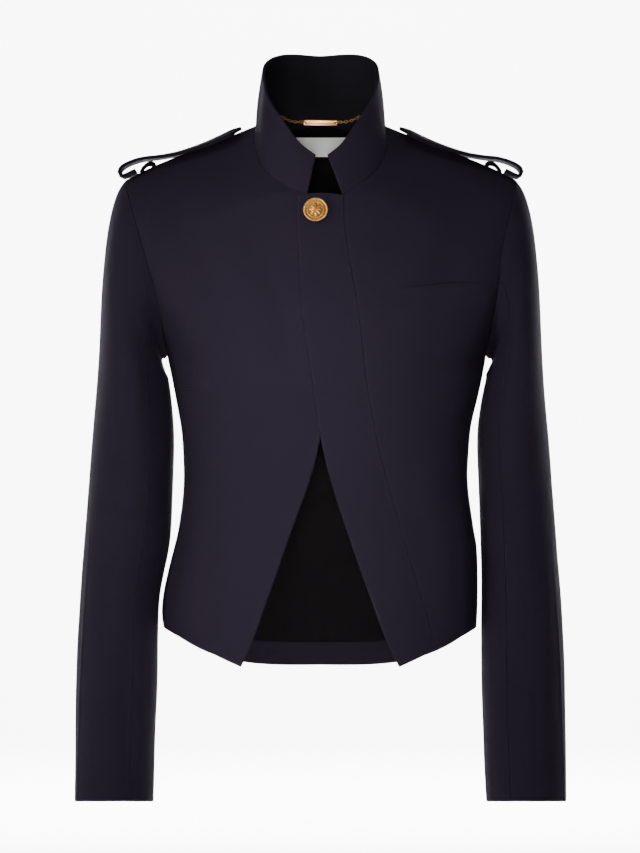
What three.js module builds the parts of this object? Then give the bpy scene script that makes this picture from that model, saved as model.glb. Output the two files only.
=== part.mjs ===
// A navy twill jacket with a stand collar, fastened by one button and open below it,
// filled out as if on an unseen wearer. Millimetres, +Z up, the front faces -Y, and the
// wearer's right side is at -X. The origin is the middle of the neck, level with the seam
// at the back of the neck.

import * as THREE from 'three';

// Cloth thicknesses and the gap at every seam
const twillThickness = 1.6;
const placketThickness = 2.6;
const strapThickness = 3.2;
const liningThickness = 1.0;
const innerCollarThickness = 1.3;
const labelThickness = 0.7;
const seamGap = 0.3;
const layerGap = 0.55;
const liningGap = 0.8;
const labelGap = 0.8;

// What each edge keeps from the seam line: body panels, sleeve seams, the sleeve at the
// armhole, and the lining at the side seams
const seam = seamGap / 2;
const sleeveSeam = 0.2;
const armholeSeam = 0.42;
const sideMargin = 6;

// Steps of the cloth grids
const skirtSteps = 12;
const armholeSteps = 14;
const frontNeckSteps = 8;
const backNeckSteps = 6;
const panelColumns = 10;
const placketColumns = 3;
const capSteps = 5;
const sleeveSteps = 10;
const collarSteps = 4;
const weltColumns = 10;
const weltRows = 2;
const keeperColumns = 8;
const keeperRows = 4;
const labelColumns = 4;
const labelRows = 3;

// Seams of the two-piece sleeve, counted in armhole steps from the underarm by the front
const forearmSeamStep = 5;
const elbowSeamStep = 22;

// Heights of one section at the side seam, the centre front and the centre back, with the
// half widths to the wearer's right and left
const torsoSections = [
  { side: -489, front: -556, back: -531, right: 153.0, left: 152.4 },
  { side: -463, front: -512, back: -494, right: 154.4, left: 153.6 },
  { side: -415, front: -446, back: -436, right: 144.0, left: 152.8 },
  { side: -389, front: -408, back: -401, right: 138.0, left: 148.8 },
  { side: -350, front: -358, back: -355, right: 133.5, left: 144.0 },
  { side: -310, front: -312, back: -311, right: 134.8, left: 145.2 },
  { side: -287, front: -287, back: -287, right: 137.5, left: 148.0 },
  { side: -255, front: -255, back: -255, right: 143.6, left: 155.8 },
  { side: -225, front: -225, back: -225, right: 149.5, left: 161.5 },
];
const underarmHeight = -225;
const armholeMiddle = -150;
const frontNeckHeight = -69;
const backNeckHeight = 5;

// Depth of the centre front and the centre back, by height
const centreProfile = [
  { z: -560, front: 113, back: 114 },
  { z: -525, front: 110, back: 112 },
  { z: -460, front: 103, back: 102 },
  { z: -405, front: 96, back: 93 },
  { z: -345, front: 90, back: 87.5 },
  { z: -290, front: 94, back: 90.5 },
  { z: -235, front: 105, back: 99 },
  { z: -185, front: 108, back: 105 },
  { z: -130, front: 97.5, back: 106 },
  { z: -100, front: 88, back: 101 },
  { z: -69, front: 76, back: 94 },
  { z: -35, front: 66, back: 82 },
  { z: 5, front: 60, back: 62 },
];

// Armhole from the underarm to the shoulder point, half widths right and left, with the
// direction in which the panel meets it and how strongly the panel's rows bend at each end
const frontArmhole = [
  { right: 149.5, left: 161.5, y: 0, z: -225, outX: 0, outY: 1, outZ: 0, start: 1.35, end: 0.96 },
  { right: 153.5, left: 166.5, y: -40, z: -193, outX: 0.45, outY: 0.89, outZ: 0, start: 1.3, end: 0.85 },
  { right: 160.5, left: 171.5, y: -55, z: -158, outX: 0.72, outY: 0.69, outZ: -0.05, start: 1.2, end: 0.7 },
  { right: 171, left: 175, y: -53, z: -122, outX: 0.82, outY: 0.56, outZ: -0.12, start: 1.05, end: 0.65 },
  { right: 180.5, left: 182.5, y: -42, z: -90, outX: 0.9, outY: 0.36, outZ: -0.25, start: 1.0, end: 0.75 },
  { right: 187.5, left: 188.5, y: -23, z: -65, outX: 0.88, outY: 0.12, outZ: -0.45, start: 1.0, end: 0.8 },
  { right: 190, left: 190.5, y: 0, z: -53, outX: 0.86, outY: 0, outZ: -0.51, start: 1.0, end: 0.85 },
];
const backArmhole = [
  { right: 149.5, left: 161.5, y: 0, z: -225, outX: 0, outY: -1, outZ: 0, start: 1.35, end: 0.96 },
  { right: 153.5, left: 166.5, y: 40, z: -193, outX: 0.45, outY: -0.89, outZ: 0, start: 1.3, end: 0.85 },
  { right: 165, left: 173.5, y: 57, z: -160, outX: 0.7, outY: -0.71, outZ: -0.03, start: 1.2, end: 0.7 },
  { right: 173, left: 177.5, y: 57, z: -122, outX: 0.84, outY: -0.53, outZ: -0.1, start: 1.1, end: 0.65 },
  { right: 181, left: 183, y: 46, z: -88, outX: 0.9, outY: -0.36, outZ: -0.25, start: 1.0, end: 0.75 },
  { right: 187.5, left: 188.5, y: 25, z: -64, outX: 0.88, outY: -0.12, outZ: -0.45, start: 1.0, end: 0.8 },
  { right: 190, left: 190.5, y: 0, z: -53, outX: 0.86, outY: 0, outZ: -0.51, start: 1.0, end: 0.85 },
];

// Neckline on each side, from near the centre front to the shoulder, then to the centre back
const frontNeckline = [
  { x: 31, y: -71, z: -64 },
  { x: 47, y: -58, z: -52 },
  { x: 59.5, y: -38, z: -36 },
  { x: 64.5, y: -16, z: -18 },
  { x: 62.5, y: 5, z: 1 },
];
const backNeckline = [
  { x: 62.5, y: 5, z: 1 },
  { x: 55.5, y: 29, z: 1.5 },
  { x: 37, y: 50, z: 3.5 },
  { x: 0, y: 62, z: 5 },
];
const shoulderDrop = 0.45;
const neckSpread = 0.15;
const frontHemPower = 1;
const backHemPower = 3.5;
const edgeSearchReach = 0.9;
const edgeSearchSteps = 40;

// Largest folds, as soft troughs and ridges in the skins: the middle of each, its lean from
// the vertical, half length, half width and height, below zero for a trough
const folds = [
  { x: -46, y: -96, z: -168, lean: 17, length: 85, width: 20, height: -2.6 },
  { x: -88, y: -88, z: -452, lean: -6, length: 80, width: 20, height: 2.2 },
  { x: 118, y: -72, z: -398, lean: 8, length: 85, width: 20, height: 1.8 },
  { x: 128, y: -72, z: -130, lean: -24, length: 62, width: 19, height: -1.6 },
  { x: -122, y: -72, z: -128, lean: 26, length: 60, width: 19, height: -1.5 },
  { x: 58, y: 92, z: -330, lean: 78, length: 70, width: 22, height: -2.2 },
  { x: -62, y: 92, z: -352, lean: -76, length: 66, width: 22, height: -2.0 },
  { x: 96, y: 84, z: -240, lean: 12, length: 75, width: 20, height: 2.0 },
  { x: -98, y: 82, z: -250, lean: -14, length: 72, width: 20, height: 1.8 },
  { x: -206, y: -50, z: -215, lean: -4, length: 85, width: 14, height: 1.8 },
  { x: 206, y: -50, z: -220, lean: 4, length: 85, width: 14, height: 1.7 },
  { x: -196, y: 58, z: -300, lean: -3, length: 95, width: 14, height: -2.0 },
  { x: 198, y: 58, z: -310, lean: 3, length: 95, width: 14, height: -1.9 },
  { x: -188, y: -62, z: -560, lean: 1, length: 85, width: 13, height: -1.6 },
  { x: 190, y: -60, z: -550, lean: -1, length: 85, width: 13, height: -1.6 },
];
const foldReach = 40;

// Free edges of the fronts and the seam of the placket, by height
const placketEdge = [
  { z: -69, x: -21.5 },
  { z: -110, x: -21.3 },
  { z: -153, x: -19.6 },
  { z: -188, x: -16.8 },
  { z: -230, x: -11 },
  { z: -264, x: -5.4 },
  { z: -306, x: 1 },
  { z: -344, x: 10 },
  { z: -375, x: 20 },
  { z: -420, x: 35.5 },
  { z: -468, x: 53 },
  { z: -503, x: 66.5 },
  { z: -524, x: 77 },
];
const placketSeam = [
  { z: -69, x: 22 },
  { z: -105, x: 23.4 },
  { z: -130, x: 27.2 },
  { z: -161, x: 32.9 },
  { z: -199, x: 38.7 },
  { z: -245, x: 43.4 },
  { z: -291, x: 51 },
  { z: -346, x: 64 },
  { z: -401, x: 79.7 },
  { z: -451, x: 95 },
  { z: -505, x: 111.7 },
];
const underlapEdge = [
  { z: -69, x: -14 },
  { z: -95, x: 18 },
  { z: -153, x: 18.6 },
  { z: -188, x: 16.4 },
  { z: -230, x: 11 },
  { z: -264, x: 5.6 },
  { z: -306, x: -1 },
  { z: -344, x: -10.5 },
  { z: -375, x: -22 },
  { z: -422, x: -38.7 },
  { z: -463, x: -53 },
  { z: -502, x: -67.3 },
  { z: -524, x: -77.6 },
];

// How far the closed front stands off the layer under it, and where that dies away
const overlapLift = 3.4;
const overlapFadeWidth = 70;
const overlapFadeTop = -310;
const overlapFadeBottom = -385;
const overlapBehind = 15;
const overlapAhead = 60;

// Top edge of the collar, from a front end to the centre back; the left front end stands
// further out, at tipLeft
const collarTop = [
  { x: 5.3, y: -72, z: -32 },
  { x: 20, y: -67, z: -21 },
  { x: 37, y: -53, z: 2 },
  { x: 51, y: -30, z: 25 },
  { x: 57.2, y: 2, z: 50 },
  { x: 53, y: 29, z: 66 },
  { x: 34, y: 52, z: 73.5 },
  { x: 0, y: 59, z: 72.5 },
];
const tipLeft = 7.2;
const tipFade = 4;
const collarBelly = 1.6;
const neckMiddle = -5;
const torsoTop = -70;

// Sleeve sections, with the outer edge and the edges next to the body on each side, the
// half depth and where the middle lies
const sleeveSections = [
  { z: -250, outer: 218, right: 148.0, left: 160.6, depth: 66, middle: 2 },
  { z: -290, outer: 221.5, right: 143.5, left: 153.6, depth: 64, middle: 4 },
  { z: -350, outer: 226.5, right: 143.8, left: 154.2, depth: 60, middle: 5 },
  { z: -410, outer: 231, right: 147.6, left: 156.2, depth: 56, middle: 2 },
  { z: -465, outer: 234.8, right: 157.2, left: 156.9, depth: 52, middle: -5 },
  { z: -520, outer: 237.4, right: 157.8, left: 156.2, depth: 48.5, middle: -14 },
  { z: -590, outer: 238, right: 160, left: 157.7, depth: 45.5, middle: -25 },
  { z: -656, outer: 238.3, right: 161.5, left: 160.5, depth: 43.5, middle: -33 },
];
const cuffRise = 3.6;
const capLiftAtUnderarm = 40;
const capLiftAtShoulder = 66;
const capBulge = 15;
const capLeaving = 0.35;
const capArriving = 0.9;
const capCrowding = 1.25;
const ringBelow = 10;

// Epaulette, its outer face seen from the front, from the point near the neck, round the
// loop at the shoulder and back to the end that lies on the shoulder seam
const epauletteTop = [
  { x: 77.6, z: -0.5 },
  { x: 86.4, z: -3.1 },
  { x: 98.1, z: -8.6 },
  { x: 110.3, z: -14.2 },
  { x: 126.4, z: -20.4 },
  { x: 141, z: -25 },
  { x: 157, z: -28.2 },
  { x: 173.2, z: -30.3 },
  { x: 183, z: -33 },
  { x: 190.6, z: -36.3 },
  { x: 195.9, z: -40.2 },
  { x: 198, z: -44.8 },
  { x: 196.3, z: -49.6 },
  { x: 192.2, z: -52 },
  { x: 187.5, z: -50.6 },
  { x: 183, z: -48.4 },
  { x: 178.6, z: -46.2 },
];
const epauletteNeckWidth = 38;
const epauletteShoulderWidth = 46;
const epaulettePoint = 12;
const epaulettePointFade = 9;
const epauletteFrontCrown = 5;
const epauletteBackCrown = 1.2;
const epauletteLoopCrown = 0.8;
const epauletteCrownEnd = 0.6;
const epauletteSteps = 32;

// Keeper strip that arches on the shoulder under each epaulette
const keeperInner = 160.6;
const keeperOuter = 176.7;
const keeperHeight = 5;
const keeperLength = 18;
const keeperFullness = 0.7;
const keeperThickness = 2.2;
const keeperBottomShare = 0.35;

// Welt pocket on the wearer's left chest: its slit, the depth of the welt under it, and its
// thickness at the slit and at the lower edge
const weltSlit = [
  { x: 76, z: -161.5 },
  { x: 105, z: -158.0 },
  { x: 124, z: -156.0 },
  { x: 140, z: -155.5 },
  { x: 156, z: -156.5 },
];
const weltDepth = 9.6;
const weltThickness = 1.4;
const weltLowerThickness = 0.8;
const weltLean = 0.5;

// Button with a shank, on the placket: its section from the shank's end over the rim to
// the middle of the face, with a low rosette
const buttonX = -4.8;
const buttonZ = -86.3;
const buttonTilt = 14;
const buttonSegments = 32;
const buttonProfile = [
  { r: 0, h: -3.2 },
  { r: 2.6, h: -3.2 },
  { r: 2.8, h: -0.2 },
  { r: 10.5, h: 0 },
  { r: 11.9, h: 0.9 },
  { r: 11.9, h: 1.7 },
  { r: 11, h: 2.5 },
  { r: 10, h: 2.3 },
  { r: 9.4, h: 1.7 },
  { r: 7.6, h: 2.3 },
  { r: 5.6, h: 2.8 },
  { r: 3.4, h: 3.1 },
  { r: 1.7, h: 3.0 },
  { r: 0, h: 3.3 },
];
const shankLength = 3.2;
const buttonGap = 0.8;
const rosettePetals = 8;
const rosetteRelief = 0.35;
const rosetteInner = 3;
const rosetteOuter = 8;
const rosetteFloor = 1.75;

// Hanging chain with a bare plate, inside the back of the neck
const chainEndX = 38.3;
const chainEndHeight = 12;
const plateHalfWidth = 16.4;
const plateHeight = 5.2;
const plateMiddle = 6.6;
const plateThickness = 1.2;
const plateHole = 0.9;
const plateHoleInset = 2;
const chainWire = 1.0;
const chainSteps = 7;
const chainStretch = [
  { fromEnd: 0, ahead: 0.8, above: 5.4 },
  { fromEnd: 7, ahead: -1.6, above: 2.9 },
  { fromPlate: 7, ahead: 3.8, above: 0.6 },
  { fromPlate: 0.4, ahead: 0.6, above: 0 },
];

// Bare label on the lining
const labelHalfWidth = 25;
const labelTop = -7.5;
const labelHeight = 18.5;

const finishes = {
  twill: { color: 0x25212f, roughness: 0.92, metalness: 0 },
  innerCloth: { color: 0x131218, roughness: 0.9, metalness: 0 },
  lining: { color: 0x141013, roughness: 0.55, metalness: 0 },
  gold: { color: 0xc79a45, roughness: 0.3, metalness: 1 },
  label: { color: 0xe9e7e2, roughness: 0.7, metalness: 0 },
};

const rightSide = -1;
const leftSide = 1;
const jacket = new THREE.Group();
jacket.name = 'jacket';

// A smooth curve through table values, for any key between the first and the last
function spline(keys, values, key) {
  const last = keys.length - 1;
  const rising = keys[last] > keys[0];
  let i = 0;
  while (i < last - 1 && (rising ? key > keys[i + 1] : key < keys[i + 1])) {
    i += 1;
  }
  const slope = (a, b) => (values[b] - values[a]) / (keys[b] - keys[a]);
  const here = slope(i, i + 1);
  const before = i > 0 ? slope(i - 1, i + 1) : here;
  const after = i + 2 <= last ? slope(i, i + 2) : here;
  const width = keys[i + 1] - keys[i];
  const t = THREE.MathUtils.clamp((key - keys[i]) / width, 0, 1);
  const t2 = t * t;
  const t3 = t2 * t;
  return (
    (2 * t3 - 3 * t2 + 1) * values[i] +
    (t3 - 2 * t2 + t) * width * before +
    (3 * t2 - 2 * t3) * values[i + 1] +
    (t3 - t2) * width * after
  );
}

function byHeight(table, column, z) {
  return spline(table.map((row) => row.z), table.map((row) => row[column]), z);
}

function byShare(table, column, share) {
  return spline(table.map((row, i) => i / (table.length - 1)), table.map((row) => row[column]), share);
}

function hermite(from, leaving, to, arriving, s) {
  const s2 = s * s;
  const s3 = s2 * s;
  return new THREE.Vector3()
    .addScaledVector(from, 2 * s3 - 3 * s2 + 1)
    .addScaledVector(leaving, s3 - 2 * s2 + s)
    .addScaledVector(to, 3 * s2 - 2 * s3)
    .addScaledVector(arriving, s3 - s2);
}

// The armhole as one closed loop, counted from the underarm by the front over the shoulder
function armholeLoop(side) {
  const halfWidth = side === rightSide ? 'right' : 'left';
  const back = backArmhole.slice(1, -1).reverse();
  const points = [...frontArmhole, ...back].map((row) => (
    new THREE.Vector3(side * row[halfWidth], row.y, row.z)
  ));
  const loop = new THREE.CatmullRomCurve3(points, true, 'centripetal');
  return Array.from({ length: 2 * armholeSteps }, (_, i) => loop.getPoint(i / (2 * armholeSteps)));
}

const armholes = new Map([rightSide, leftSide].map((side) => [side, armholeLoop(side)]));

// One row of a panel: a curve from the centre line or the neckline to the side or the armhole
function panelRow(row, side, face, neckline) {
  const isFront = face === 'front';
  const depthSign = isFront ? -1 : 1;
  const halfColumn = side === rightSide ? 'right' : 'left';
  const neckHeight = isFront ? frontNeckHeight : backNeckHeight;
  const neckSteps = isFront ? frontNeckSteps : backNeckSteps;
  const centreRows = armholeSteps - neckSteps;
  if (row <= skirtSteps) {
    const share = row / skirtSteps;
    const half = byShare(torsoSections, halfColumn, share);
    const sideHeight = byShare(torsoSections, 'side', share);
    const centreHeight = byShare(torsoSections, face, share);
    const depth = byHeight(centreProfile, face, centreHeight);
    const inner = new THREE.Vector3(0, depthSign * depth, centreHeight);
    const outer = new THREE.Vector3(side * half, 0, sideHeight);
    const reach = Math.hypot(half, depth);
    const leaving = new THREE.Vector3(side * reach * frontArmhole[0].start, 0, 0);
    const arriving = new THREE.Vector3(0, -depthSign * reach * frontArmhole[0].end, 0);
    const hemPower = isFront ? frontHemPower : backHemPower;
    return (s) => {
      const point = hermite(inner, leaving, outer, arriving, s);
      const away = Math.min(1, Math.abs(point.x) / half);
      point.z = centreHeight + (sideHeight - centreHeight) * away ** hemPower;
      return point;
    };
  }
  const armholeRow = row - skirtSteps;
  const share = armholeRow / armholeSteps;
  const table = isFront ? frontArmhole : backArmhole;
  const loop = armholes.get(side);
  const outer = loop[isFront ? armholeRow : (2 * armholeSteps - armholeRow) % (2 * armholeSteps)];
  let inner = null;
  let neckShare = 0;
  if (armholeRow <= centreRows) {
    const centreHeight = THREE.MathUtils.lerp(underarmHeight, neckHeight, armholeRow / centreRows);
    inner = new THREE.Vector3(0, depthSign * byHeight(centreProfile, face, centreHeight), centreHeight);
  } else {
    neckShare = (armholeRow - centreRows) / neckSteps;
    inner = neckline[armholeRow - centreRows];
  }
  const reach = inner.distanceTo(outer);
  const leaving = new THREE.Vector3(
    side,
    -depthSign * neckSpread * Math.sin(Math.PI * neckShare),
    -shoulderDrop * Math.sin(Math.PI * neckShare / 2),
  ).setLength(reach * byShare(table, 'start', share));
  const arriving = new THREE.Vector3(
    side * byShare(table, 'outX', share),
    byShare(table, 'outY', share),
    byShare(table, 'outZ', share),
  ).setLength(reach * byShare(table, 'end', share));
  return (s) => hermite(inner, leaving, outer, arriving, s);
}

// The closed front stands off the layer under it, most at the placket
function liftFront(point) {
  const seam = byHeight(placketSeam, 'x', point.z);
  const across = 1 - THREE.MathUtils.smoothstep(point.x, seam, seam + overlapFadeWidth);
  const down = THREE.MathUtils.smoothstep(point.z, overlapFadeBottom, overlapFadeTop);
  const ahead = THREE.MathUtils.smoothstep(-point.y, overlapBehind, overlapAhead);
  return new THREE.Vector3(point.x, point.y - overlapLift * across * down * ahead, point.z);
}

// Moves a point of a skin by every fold it lies in: out of the body, or for a trough into it
function folded(point) {
  const out = new THREE.Vector3(0, 0, 0);
  for (const fold of folds) {
    const lean = THREE.MathUtils.degToRad(fold.lean);
    const dx = point.x - fold.x;
    const dz = point.z - fold.z;
    const across = (dx * Math.cos(lean) + dz * Math.sin(lean)) / fold.width;
    const along = (dz * Math.cos(lean) - dx * Math.sin(lean)) / fold.length;
    const through = (point.y - fold.y) / foldReach;
    const share = Math.exp(-(across ** 2) - along ** 4 - through ** 4);
    out.y += Math.sign(fold.y) * fold.height * share;
  }
  return point.clone().add(out);
}

const foldSkin = (skin) => skin.map((row) => row.map(folded));

// Where a front row, followed from the far side over the centre line, crosses an edge
function crossing(row, edge) {
  const rows = new Map([rightSide, leftSide].map((side) => [side, panelRow(row, side, 'front')]));
  const at = (u) => (u < 0 ? rows.get(rightSide)(-u) : rows.get(leftSide)(u));
  let low = -edgeSearchReach;
  let high = edgeSearchReach;
  for (let i = 0; i < edgeSearchSteps; i += 1) {
    const middle = (low + high) / 2;
    const point = at(middle);
    if (point.x < byHeight(edge, 'x', point.z)) {
      low = middle;
    } else {
      high = middle;
    }
  }
  return { u: (low + high) / 2, at };
}

function spread(from, to, steps) {
  return Array.from({ length: steps + 1 }, (_, i) => from + (to - from) * i / steps);
}

const lastRow = skirtSteps + armholeSteps;
const frontNeckRow = lastRow - frontNeckSteps;
const backNeckRow = lastRow - backNeckSteps;

function necklineCurve(start, table, side, steps) {
  const points = table.map((row) => new THREE.Vector3(side * row.x, row.y, row.z));
  const all = start ? [start, ...points] : points;
  return new THREE.CatmullRomCurve3(all, false, 'centripetal').getSpacedPoints(steps);
}

// Rows of a front, from the given edge to the side seam and the armhole
function frontSkin(side, edge, lift) {
  const neckStart = crossing(frontNeckRow, edge);
  const startPoint = neckStart.at(neckStart.u);
  const neckline = necklineCurve(startPoint, frontNeckline, side, frontNeckSteps);
  const rows = [];
  for (let row = 0; row <= lastRow; row += 1) {
    let points = null;
    if (row <= frontNeckRow) {
      const { u, at } = crossing(row, edge);
      points = spread(u, side, panelColumns).map(at);
    } else {
      points = spread(0, 1, panelColumns).map(panelRow(row, side, 'front', neckline));
    }
    rows.push(lift ? points.map(liftFront) : points);
  }
  return rows;
}

function placketSkin() {
  const rows = [];
  for (let row = 0; row <= frontNeckRow; row += 1) {
    const from = crossing(row, placketEdge);
    const to = crossing(row, placketSeam);
    rows.push(spread(from.u, to.u, placketColumns).map(from.at).map(liftFront));
  }
  return rows;
}

function backSkin(side) {
  const fromShoulder = necklineCurve(null, backNeckline, side, backNeckSteps);
  const neckline = fromShoulder.reverse();
  return Array.from({ length: lastRow + 1 }, (_, row) => (
    spread(0, 1, panelColumns).map(panelRow(row, side, 'back', neckline))
  ));
}

// Sleeve rings from the armhole to the cuff
function sleeveSkin(side) {
  const around = 2 * armholeSteps;
  const armhole = armholes.get(side);
  const nearBody = side === rightSide ? 'right' : 'left';
  const topHeight = sleeveSections[0].z;
  const cuffHeight = sleeveSections[sleeveSections.length - 1].z;
  const ring = (z) => Array.from({ length: around }, (_, i) => {
    const turn = Math.PI * (1 - i / armholeSteps);
    const outer = byHeight(sleeveSections, 'outer', z);
    const inner = byHeight(sleeveSections, nearBody, z);
    const depth = byHeight(sleeveSections, 'depth', z);
    const middle = byHeight(sleeveSections, 'middle', z);
    const y = middle - depth * Math.sin(turn);
    const x = (outer + inner) / 2 + (outer - inner) / 2 * Math.cos(turn);
    const towardsCuff = (topHeight - z) / (topHeight - cuffHeight);
    return new THREE.Vector3(side * x, y, z + cuffRise * towardsCuff * Math.sin(turn));
  });
  const first = ring(topHeight);
  const second = ring(topHeight - ringBelow);
  const rings = [];
  for (let step = 0; step < capSteps; step += 1) {
    rings.push(armhole.map((from, i) => {
      const to = first[i];
      const length = from.distanceTo(to);
      const raised = (1 - Math.cos(Math.PI * i / armholeSteps)) / 2;
      const leaving = to.clone().sub(from).multiplyScalar(capLeaving);
      leaving.x += side * THREE.MathUtils.lerp(capLiftAtUnderarm, capLiftAtShoulder, raised);
      leaving.y -= capBulge * Math.sin(Math.PI * i / armholeSteps);
      const arriving = second[i].clone().sub(to).setLength(length * capArriving);
      return hermite(from, leaving, to, arriving, (step / capSteps) ** capCrowding);
    }));
  }
  spread(topHeight, cuffHeight, sleeveSteps).forEach((z) => rings.push(ring(z)));
  return rings;
}

// Collar from the neck seam up, as rows that run from one front end round the back
function collarSkin(frontRight, backRight, backLeft, frontLeft) {
  const neckOf = (skin, from) => skin.slice(from).map((row) => row[0]);
  const base = [
    ...neckOf(frontRight, frontNeckRow),
    ...neckOf(backRight, backNeckRow).reverse().slice(1),
    ...neckOf(backLeft, backNeckRow).slice(1),
    ...neckOf(frontLeft, frontNeckRow).reverse().slice(1),
  ];
  const halfSteps = frontNeckSteps + backNeckSteps;
  const top = base.map((_, i) => {
    const side = i <= halfSteps ? rightSide : leftSide;
    const share = (i <= halfSteps ? i : 2 * halfSteps - i) / halfSteps;
    const tipShift = side === leftSide ? tipLeft - collarTop[0].x : 0;
    const x = byShare(collarTop, 'x', share) + tipShift * Math.max(0, 1 - share * tipFade);
    const z = byShare(collarTop, 'z', share);
    return new THREE.Vector3(side * x, byShare(collarTop, 'y', share), z);
  });
  return spread(0, 1, collarSteps).map((up) => base.map((from, i) => {
    const point = from.clone().lerp(top[i], up);
    const away = new THREE.Vector3(point.x, point.y, 0).normalize();
    return point.addScaledVector(away, collarBelly * Math.sin(Math.PI * up));
  }));
}

const keyOf = (point) => [point.x, point.y, point.z].map((v) => Math.round(v * 1000)).join(',');

// Outward normals, shared by all skins that meet at a seam, so that their walls are mitred
class SeamNormals {
  constructor() {
    this.sums = new Map();
  }

  add(skin, hollow, around = false) {
    const columns = skin[0].length;
    const steps = around ? columns : columns - 1;
    for (let r = 0; r + 1 < skin.length; r += 1) {
      for (let c = 0; c < steps; c += 1) {
        const next = (c + 1) % columns;
        const corners = [skin[r][c], skin[r][next], skin[r + 1][next], skin[r + 1][c]];
        const across = corners[2].clone().sub(corners[0]);
        const other = corners[3].clone().sub(corners[1]);
        const normal = across.cross(other);
        const middle = corners.reduce((sum, p) => sum.addScaledVector(p, 0.25), new THREE.Vector3());
        if (normal.dot(middle.clone().sub(hollow(middle))) < 0) {
          normal.negate();
        }
        normal.normalize();
        corners.forEach((corner) => {
          const key = keyOf(corner);
          this.sums.set(key, (this.sums.get(key) ?? new THREE.Vector3()).add(normal));
        });
      }
    }
  }

  at(point) {
    return this.sums.get(keyOf(point)).clone().normalize();
  }
}

// A wall between an outer and an inner grid of points, closed all round its edges
function wallGeometry(outer, inner) {
  const rows = outer.length;
  const columns = outer[0].length;
  const positions = [...outer.flat(), ...inner.flat()].flatMap((p) => [p.x, p.y, p.z]);
  const index = [];
  const at = (layer, r, c) => layer * rows * columns + r * columns + c;
  const quad = (a, b, c, d) => index.push(a, b, c, a, c, d);
  for (let r = 0; r + 1 < rows; r += 1) {
    for (let c = 0; c + 1 < columns; c += 1) {
      quad(at(0, r, c), at(0, r, c + 1), at(0, r + 1, c + 1), at(0, r + 1, c));
      quad(at(1, r, c), at(1, r + 1, c), at(1, r + 1, c + 1), at(1, r, c + 1));
    }
  }
  for (let r = 0; r + 1 < rows; r += 1) {
    const end = columns - 1;
    quad(at(0, r + 1, 0), at(1, r + 1, 0), at(1, r, 0), at(0, r, 0));
    quad(at(0, r, end), at(1, r, end), at(1, r + 1, end), at(0, r + 1, end));
  }
  for (let c = 0; c + 1 < columns; c += 1) {
    const end = rows - 1;
    quad(at(0, 0, c), at(1, 0, c), at(1, 0, c + 1), at(0, 0, c + 1));
    quad(at(0, end, c + 1), at(1, end, c + 1), at(1, end, c), at(0, end, c));
  }
  const geometry = new THREE.BufferGeometry();
  geometry.setAttribute('position', new THREE.Float32BufferAttribute(positions, 3));
  geometry.setIndex(volumeOf(positions, index) < 0 ? turned(index) : index);
  geometry.computeVertexNormals();
  return geometry;
}

function volumeOf(positions, index) {
  const corner = (i) => new THREE.Vector3().fromArray(positions, 3 * i);
  let volume = 0;
  for (let i = 0; i < index.length; i += 3) {
    const second = corner(index[i + 1]);
    volume += corner(index[i]).dot(second.cross(corner(index[i + 2]))) / 6;
  }
  return volume;
}

function turned(index) {
  const result = [];
  for (let i = 0; i < index.length; i += 3) {
    result.push(index[i], index[i + 2], index[i + 1]);
  }
  return result;
}

function addMesh(name, geometry, finish) {
  const mesh = new THREE.Mesh(geometry, new THREE.MeshStandardMaterial(finish));
  mesh.name = name;
  jacket.add(mesh);
  return mesh;
}

// A piece of cloth on a skin: its outer face lies depth under the skin, each edge that is
// sewn keeps half the seam gap, or the margin given for it
function addCloth(name, skin, normals, options) {
  const { thickness, finish, depth = 0, margins = {} } = options;
  const rows = skin.length;
  const columns = skin[0].length;
  const outer = [];
  const inner = [];
  for (let r = 0; r < rows; r += 1) {
    const outerRow = [];
    const innerRow = [];
    for (let c = 0; c < columns; c += 1) {
      const point = skin[r][c];
      const normal = normals.at(point);
      const shift = new THREE.Vector3();
      const along = skin[r][Math.min(c + 1, columns - 1)].clone().sub(skin[r][Math.max(c - 1, 0)]);
      const up = skin[Math.min(r + 1, rows - 1)][c].clone().sub(skin[Math.max(r - 1, 0)][c]);
      const inset = (edgeLine, towards, amount) => {
        const away = normal.clone().cross(edgeLine).normalize();
        shift.addScaledVector(away, away.dot(towards) < 0 ? -amount : amount);
      };
      if (c === 0 && margins.start) {
        inset(up, skin[r][1].clone().sub(point), margins.start);
      }
      if (c === columns - 1 && margins.end) {
        inset(up, skin[r][columns - 2].clone().sub(point), margins.end);
      }
      if (r === 0 && margins.bottom) {
        inset(along, skin[1][c].clone().sub(point), margins.bottom);
      }
      if (r === rows - 1 && margins.top) {
        inset(along, skin[rows - 2][c].clone().sub(point), margins.top);
      }
      outerRow.push(point.clone().add(shift).addScaledVector(normal, -depth));
      innerRow.push(point.clone().add(shift).addScaledVector(normal, -depth - thickness));
    }
    outer.push(outerRow);
    inner.push(innerRow);
  }
  return addMesh(name, wallGeometry(outer, inner), finish);
}

// Points inside the torso, the neck and a sleeve, from which outward is told
const torsoHollow = (p) => new THREE.Vector3(0, 0, Math.min(p.z, torsoTop));
const neckHollow = (p) => new THREE.Vector3(0, neckMiddle, p.z);
const sleeveHollow = (side) => (p) => {
  const z = Math.min(p.z, sleeveSections[0].z);
  const inner = byHeight(sleeveSections, side === rightSide ? 'right' : 'left', z);
  const outer = byHeight(sleeveSections, 'outer', z);
  const height = p.z < sleeveSections[0].z ? p.z : armholeMiddle;
  return new THREE.Vector3(side * (inner + outer) / 2, byHeight(sleeveSections, 'middle', z), height);
};

const frontRight = foldSkin(frontSkin(rightSide, underlapEdge, false));
const frontLeft = foldSkin(frontSkin(leftSide, placketSeam, true));
const placket = foldSkin(placketSkin());
const backRight = foldSkin(backSkin(rightSide));
const backLeft = foldSkin(backSkin(leftSide));
const collar = collarSkin(frontRight, backRight, backLeft, frontLeft);
const sleeveRight = foldSkin(sleeveSkin(rightSide));
const sleeveLeft = foldSkin(sleeveSkin(leftSide));

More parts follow.
